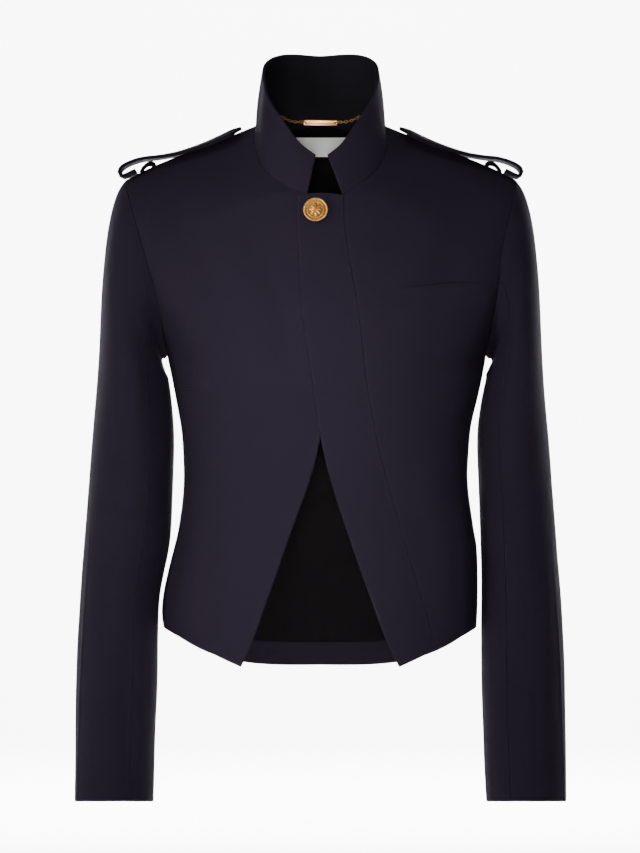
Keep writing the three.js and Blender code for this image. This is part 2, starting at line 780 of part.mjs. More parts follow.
const normals = new SeamNormals();
[frontRight, frontLeft, placket, backRight, backLeft].forEach((skin) => normals.add(skin, torsoHollow));
normals.add(collar, neckHollow);
normals.add(sleeveRight, sleeveHollow(rightSide), true);
normals.add(sleeveLeft, sleeveHollow(leftSide), true);

// Normals of the body alone, for what lies inside it
const bodyNormals = new SeamNormals();
[backRight, backLeft].forEach((skin) => bodyNormals.add(skin, torsoHollow));

// Body panels
const twill = { thickness: twillThickness, finish: finishes.twill };
addCloth('front_right', frontRight, normals, { ...twill, margins: { end: seam, top: seam } });
addCloth('front_left', frontLeft, normals, { ...twill, margins: { start: seam, end: seam, top: seam } });
addCloth('placket', placket, normals, {
  thickness: placketThickness,
  finish: finishes.twill,
  margins: { end: seam },
});
addCloth('back_right', backRight, normals, { ...twill, margins: { start: seam, end: seam, top: seam } });
addCloth('back_left', backLeft, normals, { ...twill, margins: { start: seam, end: seam, top: seam } });

// Collar, with the darker cloth inside it
addCloth('collar_outer', collar, normals, { ...twill, margins: { bottom: seam } });
addCloth('collar_inner', collar, normals, {
  thickness: innerCollarThickness,
  depth: twillThickness + seamGap,
  finish: finishes.innerCloth,
  margins: { bottom: seam },
});

// Two-piece sleeves
function addSleeve(sideName, rings) {
  const pick = (steps) => rings.map((ring) => steps.map((i) => ring[i % ring.length]));
  const topSteps = spread(forearmSeamStep, elbowSeamStep, elbowSeamStep - forearmSeamStep);
  const underEnd = forearmSeamStep + 2 * armholeSteps;
  const underSteps = spread(elbowSeamStep, underEnd, underEnd - elbowSeamStep);
  const margins = { start: sleeveSeam, end: sleeveSeam, bottom: armholeSeam };
  addCloth(`top_sleeve_${sideName}`, pick(topSteps), normals, { ...twill, margins });
  addCloth(`under_sleeve_${sideName}`, pick(underSteps), normals, { ...twill, margins });
}
addSleeve('right', sleeveRight);
addSleeve('left', sleeveLeft);

// Inside of the back: hem band of the jacket's cloth, and the lining above it
const insideDepth = twillThickness + liningGap;
const wholeBack = backRight.map((row, r) => [...[...row].reverse(), ...backLeft[r].slice(1)]);
const sparseBack = wholeBack.map((row) => row.filter((_, i) => i % 2 === 0));
addCloth('back_hem_band', sparseBack.slice(0, 2), bodyNormals, {
  thickness: twillThickness,
  depth: insideDepth,
  finish: finishes.innerCloth,
  margins: { start: sideMargin, end: sideMargin, top: seam },
});
addCloth('back_lining', sparseBack.slice(1, backNeckRow + 1), bodyNormals, {
  thickness: liningThickness,
  depth: insideDepth,
  finish: finishes.lining,
  margins: { start: sideMargin, end: sideMargin, top: seam, bottom: seam },
});

// Depth of a skin at one place, read along Y from its own cells
function depthOn(skin, x, z) {
  for (let r = 0; r + 1 < skin.length; r += 1) {
    for (let c = 0; c + 1 < skin[0].length; c += 1) {
      const corners = [skin[r][c], skin[r][c + 1], skin[r + 1][c + 1], skin[r + 1][c]];
      for (const [i, j, k] of [[0, 1, 2], [0, 2, 3]]) {
        const y = depthInTriangle(corners[i], corners[j], corners[k], x, z);
        if (y !== null) {
          return y;
        }
      }
    }
  }
  throw new Error('no cloth at this place');
}

function depthInTriangle(a, b, c, x, z) {
  const area = (b.x - a.x) * (c.z - a.z) - (c.x - a.x) * (b.z - a.z);
  const v = ((x - a.x) * (c.z - a.z) - (c.x - a.x) * (z - a.z)) / area;
  const w = ((b.x - a.x) * (z - a.z) - (x - a.x) * (b.z - a.z)) / area;
  if (v < 0 || w < 0 || v + w > 1) {
    return null;
  }
  return a.y + v * (b.y - a.y) + w * (c.y - a.y);
}

// Welt of the chest pocket, moved out from the left front
function addWelt() {
  const rows = spread(0, 1, weltRows).map((down) => (
    spread(0, 1, weltColumns).map((share) => {
      const x = byShare(weltSlit, 'x', share);
      const z = byShare(weltSlit, 'z', share) - down * weltDepth;
      return new THREE.Vector3(x, depthOn(frontLeft, x, z) - layerGap, z);
    })
  ));
  const out = new THREE.Vector3(weltLean, -1, 0).normalize();
  const outer = rows.map((row, r) => row.map((p) => (
    p.clone().addScaledVector(out, THREE.MathUtils.lerp(weltThickness, weltLowerThickness, r / weltRows))
  )));
  addMesh('chest_welt', wallGeometry(outer, rows), finishes.twill);
}
addWelt();

// Epaulettes: doubled straps that lie on the shoulder, rise clear of it and loop back
function addEpaulette(sideName, side) {
  const path = new THREE.CatmullRomCurve3(
    epauletteTop.map((row) => new THREE.Vector3(side * row.x, 0, row.z)),
    false,
    'centripetal',
  );
  const across = [-1, -0.5, 0, 0.5, 1];
  const outer = [];
  const inner = [];
  for (const share of spread(0, 1, epauletteSteps)) {
    const tangent = path.getTangentAt(share);
    const normal = new THREE.Vector3(tangent.z, 0, -tangent.x).multiplyScalar(-side);
    const middle = path.getPointAt(share);
    const half = THREE.MathUtils.lerp(epauletteNeckWidth, epauletteShoulderWidth, share) / 2;
    const point = epaulettePoint * Math.max(0, 1 - share * epaulettePointFade);
    const flat = Math.min(1, share / epauletteCrownEnd);
    const front = THREE.MathUtils.lerp(epauletteFrontCrown, epauletteLoopCrown, flat);
    const back = THREE.MathUtils.lerp(epauletteBackCrown, epauletteLoopCrown, flat);
    const place = (v, drop) => middle.clone()
      .addScaledVector(tangent, point * v * v)
      .addScaledVector(normal, -drop - (v < 0 ? front : back) * v * v)
      .add(new THREE.Vector3(0, half * v, 0));
    outer.push(across.map((v) => place(v, 0)));
    inner.push(across.map((v) => place(v, strapThickness)));
  }
  addMesh(`epaulette_${sideName}`, wallGeometry(outer, inner), finishes.twill);
}
addEpaulette('right', rightSide);
addEpaulette('left', leftSide);

// Height of the shoulder at one place, read along Z from the cells of a skin
function heightOn(skins, x, y) {
  let best = -Infinity;
  for (const skin of skins) {
    for (let r = 0; r + 1 < skin.length; r += 1) {
      for (let c = 0; c + 1 < skin[0].length; c += 1) {
        const corners = [skin[r][c], skin[r][c + 1], skin[r + 1][c + 1], skin[r + 1][c]];
        const swapped = corners.map((p) => new THREE.Vector3(p.x, p.z, p.y));
        for (const [i, j, k] of [[0, 1, 2], [0, 2, 3]]) {
          const z = depthInTriangle(swapped[i], swapped[j], swapped[k], x, y);
          best = z === null ? best : Math.max(best, z);
        }
      }
    }
  }
  return best;
}

function addKeeper(sideName, side, skins) {
  const rows = spread(-keeperLength / 2, keeperLength / 2, keeperRows).map((y) => (
    spread(0, 1, keeperColumns).map((share) => {
      const x = side * THREE.MathUtils.lerp(keeperInner, keeperOuter, share);
      const arch = keeperHeight * Math.sin(Math.PI * share) ** keeperFullness;
      return new THREE.Vector3(x, y, heightOn(skins, x, y) + twillThickness + layerGap + arch);
    })
  ));
  const under = rows.map((row) => row.map((p, i) => {
    const turn = Math.PI * (1 - i / keeperColumns);
    const drop = new THREE.Vector3(side * -Math.cos(turn), 0, -Math.sin(turn) - keeperBottomShare);
    return p.clone().addScaledVector(drop.normalize(), keeperThickness);
  }));
  addMesh(`keeper_${sideName}`, wallGeometry(rows, under), finishes.twill);
}
addKeeper('right', rightSide, [frontRight, backRight]);
addKeeper('left', leftSide, [frontLeft, backLeft]);

// Button: a domed face in a raised rim, with a rosette in low relief and a shank behind
function addButton() {
  const profile = buttonProfile.map((row) => new THREE.Vector2(row.r, row.h));
  const geometry = new THREE.LatheGeometry(profile, buttonSegments);
  const places = geometry.getAttribute('position');
  for (let i = 0; i < places.count; i += 1) {
    const r = Math.hypot(places.getX(i), places.getZ(i));
    const turn = Math.atan2(places.getZ(i), places.getX(i));
    if (places.getY(i) > rosetteFloor && r > rosetteInner && r < rosetteOuter) {
      places.setY(i, places.getY(i) + rosetteRelief * Math.cos(rosettePetals * turn));
    }
  }
  const button = addMesh('button', geometry, finishes.gold);
  const seatDepth = depthOn(placket, buttonX, buttonZ);
  button.rotation.x = THREE.MathUtils.degToRad(180 - buttonTilt);
  button.position.set(buttonX, seatDepth - shankLength - buttonGap, buttonZ);
}
addButton();

// Hanging chain: two sagging stretches and a bare plate between them
const neckInside = twillThickness + seamGap + innerCollarThickness;
const collarBack = collar.map((row) => row.slice(frontNeckSteps, -frontNeckSteps));
const plateDepth = depthOn(collarBack, plateHalfWidth, chainEndHeight) - neckInside - plateThickness;

function addChain(sideName, side) {
  const end = depthOn(collarBack, side * chainEndX, chainEndHeight) - neckInside - chainWire;
  const path = new THREE.CatmullRomCurve3(chainStretch.map((row) => {
    const byEnd = row.fromEnd !== undefined;
    const x = byEnd ? chainEndX - row.fromEnd : plateHalfWidth + row.fromPlate;
    const y = (byEnd ? end : plateDepth) - row.ahead;
    return new THREE.Vector3(side * x, y, plateMiddle + row.above);
  }));
  const section = new THREE.Shape();
  section.absarc(0, 0, chainWire, 0, 2 * Math.PI);
  const geometry = new THREE.ExtrudeGeometry(section, {
    curveSegments: 8,
    steps: chainSteps,
    extrudePath: path,
  });
  addMesh(`hanger_chain_${sideName}`, geometry, finishes.gold);
}
addChain('right', rightSide);
addChain('left', leftSide);

function addPlate() {
  const outline = new THREE.Shape();
  const half = plateHalfWidth;
  const middle = plateMiddle;
  outline.moveTo(-half, middle - plateHeight / 2);
  outline.lineTo(half, middle - plateHeight / 2);
  outline.lineTo(half, middle + plateHeight / 2);
  outline.lineTo(-half, middle + plateHeight / 2);
  outline.closePath();
  [-1, 1].forEach((end) => {
    const hole = new THREE.Path();
    hole.absarc(end * (half - plateHoleInset), middle, plateHole, 0, 2 * Math.PI);
    outline.holes.push(hole);
  });
  const geometry = new THREE.ExtrudeGeometry(outline, {
    depth: plateThickness,
    bevelEnabled: false,
    curveSegments: 5,
  });
  const plate = addMesh('hanger_plate', geometry, finishes.gold);
  plate.rotation.x = Math.PI / 2;
  plate.position.y = plateDepth;
}
addPlate();

// Bare label, moved in from the lining at the back of the neck
function addLabel() {
  const rows = spread(labelTop - labelHeight, labelTop, labelRows).map((z) => (
    spread(-labelHalfWidth, labelHalfWidth, labelColumns).map((x) => {
      const y = depthOn(sparseBack, x, z);
      return new THREE.Vector3(x, y - insideDepth - liningThickness - labelGap, z);
    })
  ));
  const face = rows.map((row) => row.map((p) => new THREE.Vector3(p.x, p.y - labelThickness, p.z)));
  addMesh('neck_label', wallGeometry(rows, face), finishes.label);
}
addLabel();

export default jacket;
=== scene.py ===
import math

import bmesh
import bpy
import numpy as np
from mathutils import Matrix, Vector
from mathutils.bvhtree import BVHTree


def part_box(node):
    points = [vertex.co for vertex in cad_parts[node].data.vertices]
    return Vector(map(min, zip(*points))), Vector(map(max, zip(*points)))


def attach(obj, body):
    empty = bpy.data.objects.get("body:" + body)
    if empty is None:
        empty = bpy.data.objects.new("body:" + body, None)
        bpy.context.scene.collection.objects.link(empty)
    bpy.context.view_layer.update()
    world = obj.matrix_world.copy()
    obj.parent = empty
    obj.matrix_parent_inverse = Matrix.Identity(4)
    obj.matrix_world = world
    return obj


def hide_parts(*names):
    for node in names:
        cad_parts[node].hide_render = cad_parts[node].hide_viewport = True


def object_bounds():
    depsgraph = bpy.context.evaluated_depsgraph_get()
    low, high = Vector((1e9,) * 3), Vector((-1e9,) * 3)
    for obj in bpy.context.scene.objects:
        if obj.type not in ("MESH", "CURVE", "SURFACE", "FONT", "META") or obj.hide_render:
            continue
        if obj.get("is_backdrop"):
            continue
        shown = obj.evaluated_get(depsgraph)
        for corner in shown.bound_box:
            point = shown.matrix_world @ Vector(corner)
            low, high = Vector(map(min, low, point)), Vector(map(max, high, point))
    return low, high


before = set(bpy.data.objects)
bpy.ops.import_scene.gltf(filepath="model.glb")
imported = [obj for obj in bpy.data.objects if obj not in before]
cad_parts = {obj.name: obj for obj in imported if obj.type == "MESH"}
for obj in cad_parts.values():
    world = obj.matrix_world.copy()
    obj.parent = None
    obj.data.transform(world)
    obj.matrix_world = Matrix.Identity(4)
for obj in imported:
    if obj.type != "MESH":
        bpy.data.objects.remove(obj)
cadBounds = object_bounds()

mm = 0.001
sleeveMiddle = 0.195  # metres out from the jacket's middle
sleeveInside = 0.165

# Camera: long lens, level with the middle of the sleeves, square to the front
cameraSettings = dict(
    distance=4.5,
    height=-0.2933,
    side=-0.0005,
    sensor=36.0,
    frameHeight=0.8325,  # metres of the jacket's middle plane that fill the frame
)


def addCamera(settings):
    data = bpy.data.cameras.new("camera")
    data.sensor_width = settings["sensor"]
    data.lens = settings["sensor"] * settings["distance"] / settings["frameHeight"]
    data.clip_end = 60
    camera = bpy.data.objects.new("camera", data)
    camera.location = (settings["side"], -settings["distance"], settings["height"])
    camera.rotation_euler = (math.radians(90), 0, 0)
    bpy.context.collection.objects.link(camera)
    bpy.context.scene.camera = camera


addCamera(cameraSettings)
print("camera placed")


# Node groups for the effects that several materials use

def newGroup(name, inputs, outputs):
    group = bpy.data.node_groups.new(name, "ShaderNodeTree")
    for label, kind, value in inputs:
        socket = group.interface.new_socket(label, in_out="INPUT", socket_type=kind)
        if value is not None:
            socket.default_value = value
    for label, kind in outputs:
        group.interface.new_socket(label, in_out="OUTPUT", socket_type=kind)
    return group, group.nodes.new("NodeGroupInput"), group.nodes.new("NodeGroupOutput")


def addMath(tree, operation, first, second=None, clamp=False):
    node = tree.nodes.new("ShaderNodeMath")
    node.operation = operation
    node.use_clamp = clamp
    for i, value in enumerate((first, second)):
        if value is None:
            continue
        if isinstance(value, (int, float)):
            node.inputs[i].default_value = value
        else:
            tree.links.new(value, node.inputs[i])
    return node.outputs[0]


def scaleAndAdd(tree, value, factor, offset):
    result = addMath(tree, "MULTIPLY_ADD", value, factor)
    result.node.inputs[2].default_value = offset
    return result


def addNoise(tree, coordinates, scale, detail, roughness=0.5):
    node = tree.nodes.new("ShaderNodeTexNoise")
    node.inputs["Detail"].default_value = detail
    node.inputs["Roughness"].default_value = roughness
    tree.links.new(coordinates, node.inputs["Vector"])
    if isinstance(scale, (int, float)):
        node.inputs["Scale"].default_value = scale
    else:
        tree.links.new(scale, node.inputs["Scale"])
    return node.outputs["Fac"]


def makeTwillGroup():
    group, given, made = newGroup(
        "twillWeave",
        [
            ("Coordinates", "NodeSocketVector", None),
            ("Ribs Per Metre", "NodeSocketFloat", 850.0),
            ("Yarn Breaks", "NodeSocketFloat", 0.35),
            ("Wander", "NodeSocketFloat", 0.15),
        ],
        [("Rib", "NodeSocketFloat"), ("Height", "NodeSocketFloat")],
    )
    along = group.nodes.new("ShaderNodeVectorMath")  # ribs climb across every side of the cloth
    along.operation = "DOT_PRODUCT"
    group.links.new(given.outputs["Coordinates"], along.inputs[0])
    along.inputs[1].default_value = (0.60, 0.47, 0.65)
    across = group.nodes.new("ShaderNodeVectorMath")
    across.operation = "DOT_PRODUCT"
    group.links.new(given.outputs["Coordinates"], across.inputs[0])
    across.inputs[1].default_value = (0.66, -0.38, -0.65)
    wander = addNoise(group, given.outputs["Coordinates"], 60.0, 2.0)
    bend = addMath(group, "MULTIPLY", wander, given.outputs["Wander"])
    count = addMath(group, "MULTIPLY", along.outputs["Value"], given.outputs["Ribs Per Metre"])
    phase = addMath(group, "MULTIPLY", addMath(group, "ADD", count, bend), 2 * math.pi)
    rib = scaleAndAdd(group, addMath(group, "SINE", phase), 0.5, 0.5)
    stitch = addMath(group, "MULTIPLY", across.outputs["Value"], given.outputs["Ribs Per Metre"])
    stagger = addMath(group, "ADD", addMath(group, "MULTIPLY", stitch, 2 * math.pi), phase)
    yarn = scaleAndAdd(group, addMath(group, "SINE", stagger), 0.5, 0.5)
    breaks = addMath(group, "MULTIPLY", yarn, given.outputs["Yarn Breaks"])
    height = addMath(group, "ADD", rib, breaks)
    group.links.new(rib, made.inputs["Rib"])
    group.links.new(height, made.inputs["Height"])
    return group


def makeMottleGroup():
    group, given, made = newGroup(
        "clothMottle",
        [
            ("Coordinates", "NodeSocketVector", None),
            ("Patch Scale", "NodeSocketFloat", 9.0),
            ("Fibre Scale", "NodeSocketFloat", 900.0),
            ("Fibre Share", "NodeSocketFloat", 0.4),
        ],
        [("Shade", "NodeSocketFloat"), ("Fuzz", "NodeSocketFloat")],
    )
    patch = addNoise(group, given.outputs["Coordinates"], given.outputs["Patch Scale"], 3.0)
    fibre = addNoise(group, given.outputs["Coordinates"], given.outputs["Fibre Scale"], 2.0, 0.7)
    part = addMath(group, "MULTIPLY", fibre, given.outputs["Fibre Share"])
    rest = addMath(group, "SUBTRACT", 1.0, given.outputs["Fibre Share"])
    shade = addMath(group, "ADD", part, addMath(group, "MULTIPLY", patch, rest), clamp=True)
    group.links.new(shade, made.inputs["Shade"])
    group.links.new(fibre, made.inputs["Fuzz"])
    return group


# Lighter colour on convex edges: rubbed wear, and on the twill also a painted edge highlight along turned
# edges
def makeEdgeWearAndHighlightGroup():
    group, given, made = newGroup(
        "edgeWearAndHighlight",
        [
            ("Coordinates", "NodeSocketVector", None),
            ("Reach", "NodeSocketFloat", 6.0),
            ("Breakup Scale", "NodeSocketFloat", 220.0),
        ],
        [("Edge", "NodeSocketFloat")],
    )
    geometry = group.nodes.new("ShaderNodeNewGeometry")
    raised = addMath(group, "SUBTRACT", geometry.outputs["Pointiness"], 0.5)
    spread = addMath(group, "MULTIPLY", raised, given.outputs["Reach"], clamp=True)
    breakup = addNoise(group, given.outputs["Coordinates"], given.outputs["Breakup Scale"], 3.0)
    edge = addMath(group, "MULTIPLY", spread, breakup, clamp=True)
    group.links.new(edge, made.inputs["Edge"])
    return group


twillWeave = makeTwillGroup()
clothMottle = makeMottleGroup()
edgeWearAndHighlight = makeEdgeWearAndHighlightGroup()


def startMaterial(name):
    material = bpy.data.materials.new(name)
    material.use_nodes = True
    tree = material.node_tree
    shader = tree.nodes["Principled BSDF"]
    coordinates = tree.nodes.new("ShaderNodeTexCoord").outputs["Object"]
    return material, tree, shader, coordinates


def placeGroup(tree, group, coordinates, **values):
    node = tree.nodes.new("ShaderNodeGroup")
    node.node_tree = group
    tree.links.new(coordinates, node.inputs["Coordinates"])
    for key, value in values.items():
        label = "".join(" " + c if c.isupper() else c for c in key).strip().title()
        node.inputs[label].default_value = value
    return node


def mixColours(tree, factor, first, second):
    node = tree.nodes.new("ShaderNodeMix")
    node.data_type = "RGBA"
    tree.links.new(factor, node.inputs["Factor"])
    for socket, value in ((node.inputs[6], first), (node.inputs[7], second)):
        if isinstance(value, tuple):
            socket.default_value = (*value, 1)
        else:
            tree.links.new(value, socket)
    return node.outputs[2]


def placeMottle(tree, coordinates, look):
    scales = dict(patchScale=look["patches"], fibreScale=look["fibres"])
    return placeGroup(tree, clothMottle, coordinates, **scales)


def placeWeave(tree, coordinates, look):
    scales = dict(ribsPerMetre=look["ribs"], yarnBreaks=look["breaks"])
    return placeGroup(tree, twillWeave, coordinates, **scales)


def setBump(tree, shader, height, look):
    bump = tree.nodes.new("ShaderNodeBump")
    bump.inputs["Strength"].default_value = look["bump"]
    bump.inputs["Distance"].default_value = look["bumpDepth"] * mm
    tree.links.new(height, bump.inputs["Height"])
    tree.links.new(bump.outputs["Normal"], shader.inputs["Normal"])


def makeTwill(name, look):
    material, tree, shader, coordinates = startMaterial(name)
    weave = placeWeave(tree, coordinates, look)
    mottle = placeMottle(tree, coordinates, look)
    wornAndLit = placeGroup(tree, edgeWearAndHighlight, coordinates, reach=look["reach"])
    cloth = mixColours(tree, mottle.outputs["Shade"], look["dark"], look["light"])
    ribbed = mixColours(tree, weave.outputs["Rib"], look["groove"], cloth)
    # Raised edges lightened: rubbed wear and a painted edge highlight on turned edges
    part = addMath(tree, "MULTIPLY", wornAndLit.outputs["Edge"], look["edge"])
    tree.links.new(mixColours(tree, part, ribbed, look["rubbedAndLit"]), shader.inputs["Base Color"])
    rough = scaleAndAdd(tree, mottle.outputs["Fuzz"], look["roughSpread"], look["roughness"])
    tree.links.new(rough, shader.inputs["Roughness"])
    shader.inputs["Specular IOR Level"].default_value = look["specular"]
    shader.inputs["Sheen Weight"].default_value = look["sheen"]
    shader.inputs["Sheen Roughness"].default_value = look["sheenRoughness"]
    shader.inputs["Sheen Tint"].default_value = (*look["sheenTint"], 1)
    fuzz = addMath(tree, "MULTIPLY", mottle.outputs["Fuzz"], look["fuzz"])
    setBump(tree, shader, addMath(tree, "ADD", weave.outputs["Height"], fuzz), look)
    return material


navyLook = dict(
    dark=(0.0132, 0.0096, 0.0184),
    light=(0.0228, 0.0172, 0.0302),
    groove=(0.0096, 0.0070, 0.0134),
    # lighter colour for raised edges: partly rubbed wear, partly a painted edge highlight
    rubbedAndLit=(0.056, 0.048, 0.072),
    edge=0.45,
    reach=5.0,
    ribs=1350.0,
    breaks=0.4,
    patches=7.0,
    fibres=700.0,
    fuzz=0.5,
    roughness=0.84,
    roughSpread=0.16,
    specular=0.07,
    sheen=0.012,
    sheenRoughness=0.45,
    sheenTint=(0.60, 0.52, 0.85),
    bump=0.4,
    bumpDepth=0.12,
)
# Darker, greyer copy of the navy twill: painted shade on the inside of the collar and in the pocket mouth,
# which are the same cloth as the outside
shadedInnerLook = dict(
    navyLook,
    dark=(0.0080, 0.0074, 0.0098),
    light=(0.0140, 0.0132, 0.0172),
    groove=(0.0058, 0.0052, 0.0072),
    rubbedAndLit=(0.012, 0.011, 0.015),
    sheen=0.0,
)
# Slightly darker copy of the navy twill without sheen: painted shade on the hem band, which is the same
# cloth
shadedBandLook = dict(navyLook, dark=(0.0112, 0.0086, 0.0150), light=(0.0190, 0.0148, 0.0245), sheen=0.0)
# Darker copy of the navy twill: painted shade on the straps and keepers, which face up, away from the light
shadedStrapLook = dict(
    navyLook,
    dark=(0.0066, 0.0050, 0.0094),
    light=(0.0114, 0.0088, 0.0152),
    groove=(0.0050, 0.0038, 0.0070),
    rubbedAndLit=(0.026, 0.022, 0.034),
)
liningLook = dict(
    dark=(0.0022, 0.0015, 0.0021),
    light=(0.0042, 0.0030, 0.0038),
    ribs=2200.0,
    breaks=0.2,
    patches=12.0,
    fibres=1400.0,
    roughness=0.6,
    roughSpread=0.12,
    specular=0.05,
    bump=0.18,
    bumpDepth=0.05,
)
goldLook = dict(
    bright=(0.68, 0.34, 0.083),
    deep=(0.022, 0.009, 0.002),
    rubbedAndLit=(0.85, 0.60, 0.27),
    patches=260.0,
    fibres=2600.0,
    reach=9.0,
    breakup=900.0,
    recess=9.0,
    roughness=0.24,
    roughSpread=0.16,
    bump=0.15,
    bumpDepth=0.03,
)
labelLook = dict(
    light=(0.90, 0.89, 0.87),
    dark=(0.78, 0.77, 0.75),
    ribs=1500.0,
    breaks=0.8,
    patches=60.0,
    fibres=1800.0,
    roughness=0.6,
    sheen=0.2,
    bump=0.4,
    bumpDepth=0.06,
)


def makeLining(look):
    material, tree, shader, coordinates = startMaterial("satinLining")
    mottle = placeMottle(tree, coordinates, look)
    weave = placeWeave(tree, coordinates, look)
    colour = mixColours(tree, mottle.outputs["Shade"], look["dark"], look["light"])
    tree.links.new(colour, shader.inputs["Base Color"])
    rough = scaleAndAdd(tree, mottle.outputs["Fuzz"], look["roughSpread"], look["roughness"])
    tree.links.new(rough, shader.inputs["Roughness"])
    shader.inputs["Specular IOR Level"].default_value = look["specular"]
    setBump(tree, shader, weave.outputs["Height"], look)
    return material


def makeGold(look):
    material, tree, shader, coordinates = startMaterial("goldMetal")
    mottle = placeMottle(tree, coordinates, look)
    wornAndLit = placeGroup(tree, edgeWearAndHighlight, coordinates, reach=look["reach"], breakupScale=look["breakup"])
    geometry = tree.nodes.new("ShaderNodeNewGeometry")
    sunk = addMath(tree, "SUBTRACT", 0.5, geometry.outputs["Pointiness"])
    hollow = tree.nodes.new("ShaderNodeAttribute")
    hollow.attribute_name = "hollow"
    sharp = addMath(tree, "MULTIPLY", sunk, look["recess"], clamp=True)
    recess = addMath(tree, "MAXIMUM", sharp, hollow.outputs["Fac"])
    base = mixColours(tree, recess, look["bright"], look["deep"])
    bright = mixColours(tree, wornAndLit.outputs["Edge"], base, look["rubbedAndLit"])
    tree.links.new(bright, shader.inputs["Base Color"])
    shader.inputs["Metallic"].default_value = 1.0
    rough = scaleAndAdd(tree, mottle.outputs["Shade"], look["roughSpread"], look["roughness"])
    tree.links.new(rough, shader.inputs["Roughness"])
    setBump(tree, shader, mottle.outputs["Fuzz"], look)
    return material


def makeLabel(look):
    material, tree, shader, coordinates = startMaterial("labelTape")
    mottle = placeMottle(tree, coordinates, look)
    weave = placeWeave(tree, coordinates, look)
    colour = mixColours(tree, mottle.outputs["Shade"], look["dark"], look["light"])
    tree.links.new(colour, shader.inputs["Base Color"])
    shader.inputs["Roughness"].default_value = look["roughness"]
    shader.inputs["Sheen Weight"].default_value = look["sheen"]
    setBump(tree, shader, weave.outputs["Height"], look)
    return material


navyTwill = makeTwill("navyTwill", navyLook)
# painted shade: darker copy of the navy twill for the collar facing and pocket mouth
shadedInnerTwill = makeTwill("shadedInnerTwill", shadedInnerLook)
# painted shade: slightly darker copy of the navy twill for the hem band
shadedBandTwill = makeTwill("shadedBandTwill", shadedBandLook)
# painted shade: darker copy of the navy twill for the straps and keepers
shadedStrapTwill = makeTwill("shadedStrapTwill", shadedStrapLook)
satinLining = makeLining(liningLook)
goldMetal = makeGold(goldLook)
labelTape = makeLabel(labelLook)
print("materials made")


# Folds are soft troughs and ridges in space, so that every layer they cross moves together.
# at: middle of the fold, in mm; run: direction it runs in; out: direction that it lifts;
# length and width: half sizes; lift: its height, below zero for a trough; all in mm

def foldField(points, folds):
    moved = np.zeros_like(points)
    for fold in folds:
        run = np.array(fold["run"], float)
        run /= np.linalg.norm(run)
        out = np.array(fold["out"], float)
        out /= np.linalg.norm(out)
        side = np.cross(run, out)
        side /= np.linalg.norm(side)
        away = points / mm - np.array(fold["at"], float)
        curve = fold.get("curve", 0.0) * ((away @ run) / fold["length"]) ** 2
        across = (away @ side - curve) / fold["width"]
        along = (away @ run) / fold["length"]
        through = (away @ out) / fold.get("reach", 45.0)
        strength = np.exp(-across**2) * np.exp(-(along**4)) * np.exp(-(through**4))
        moved += strength[:, None] * out * fold["lift"] * mm
    return moved


# Uneven life of a pressed cloth that is worn: slow waves, a fraction of a millimetre high

def clothLife(points, height):
    x, y, z = points.T
    wave = (
        np.sin(31 * x + 17 * z + 1.3) * np.sin(23 * y - 29 * z)
        + 0.6 * np.sin(61 * x - 43 * z + 0.4) * np.cos(47 * y + 37 * z)
    )
    middle = np.where(np.abs(x) > sleeveInside, np.sign(x) * sleeveMiddle, 0.0)
    out = np.stack([x - middle, y, np.zeros_like(x)], axis=1)
    out /= np.maximum(np.linalg.norm(out, axis=1, keepdims=True), 0.02)
    return out * (wave * height * mm)[:, None]


frontFolds = [
    dict(at=(-40, -96, -175), run=(0.24, 0, -1), out=(0, -1, 0.1), length=75, width=12, lift=-1.7, curve=5),
    dict(at=(-37, -92, -122), run=(0.34, 0, -1), out=(0, -1, 0), length=44, width=12, lift=-1.8, curve=-4),
    dict(at=(-74, -92, -215), run=(0.12, 0, -1), out=(0, -1, 0), length=85, width=20, lift=1.3),
    dict(at=(-90, -85, -465), run=(-0.1, 0, -1), out=(-0.2, -1, 0), length=60, width=9, lift=0.8),
    dict(at=(-112, -75, -440), run=(0.08, 0, -1), out=(-0.4, -1, 0), length=70, width=12, lift=-1.3),
    dict(at=(-122, -72, -120), run=(0.5, 0, -1), out=(-0.3, -1, 0), length=60, width=15, lift=-1.2),
    dict(at=(126, -72, -125), run=(-0.45, 0, -1), out=(0.3, -1, 0), length=62, width=16, lift=-1.3),
    dict(at=(72, -97, -205), run=(0.16, 0, -1), out=(0.1, -1, 0), length=70, width=22, lift=-1.4),
    dict(at=(118, -70, -400), run=(0.12, 0, -1), out=(0.4, -1, 0), length=82, width=15, lift=1.5),
    dict(at=(132, -52, -345), run=(1, 0.5, 0.12), out=(0.6, -0.8, 0), length=36, width=7, lift=-1.1),
    dict(at=(-118, -55, -338), run=(-1, 0.5, -0.1), out=(-0.6, -0.8, 0), length=34, width=7, lift=-1.0),
    dict(at=(-136, -38, -300), run=(0.1, 0, -1), out=(-1, -0.4, 0), length=60, width=12, lift=1.1),
]
backFolds = [
    dict(at=(34, 95, -350), run=(1, 0, 0.14), out=(0, 1, 0), length=62, width=9, lift=-1.8, curve=-6),
    dict(at=(-42, 95, -322), run=(1, 0, -0.1), out=(0, 1, 0), length=54, width=8, lift=-1.5, curve=5),
    dict(at=(6, 93, -295), run=(1, 0, 0.05), out=(0, 1, 0), length=48, width=8, lift=1.2),
    dict(at=(96, 82, -250), run=(0.2, 0, -1), out=(0.5, 1, 0), length=72, width=15, lift=1.7),
    dict(at=(-98, 80, -262), run=(-0.25, 0, -1), out=(-0.5, 1, 0), length=66, width=14, lift=1.5),
    dict(at=(128, 66, -160), run=(-0.35, 0, -1), out=(0.6, 1, 0), length=55, width=12, lift=-1.6),
    dict(at=(-128, 66, -152), run=(0.4, 0, -1), out=(-0.6, 1, 0), length=58, width=12, lift=-1.5),
    dict(at=(52, 104, -455), run=(0.08, 0, -1), out=(0.2, 1, 0), length=62, width=17, lift=1.6),
    dict(at=(-66, 102, -462), run=(-0.06, 0, -1), out=(-0.3, 1, 0), length=55, width=16, lift=1.4),
    dict(at=(0, 74, -42), run=(1, 0, 0), out=(0, 1, 0.4), length=44, width=8, lift=-1.0),
]
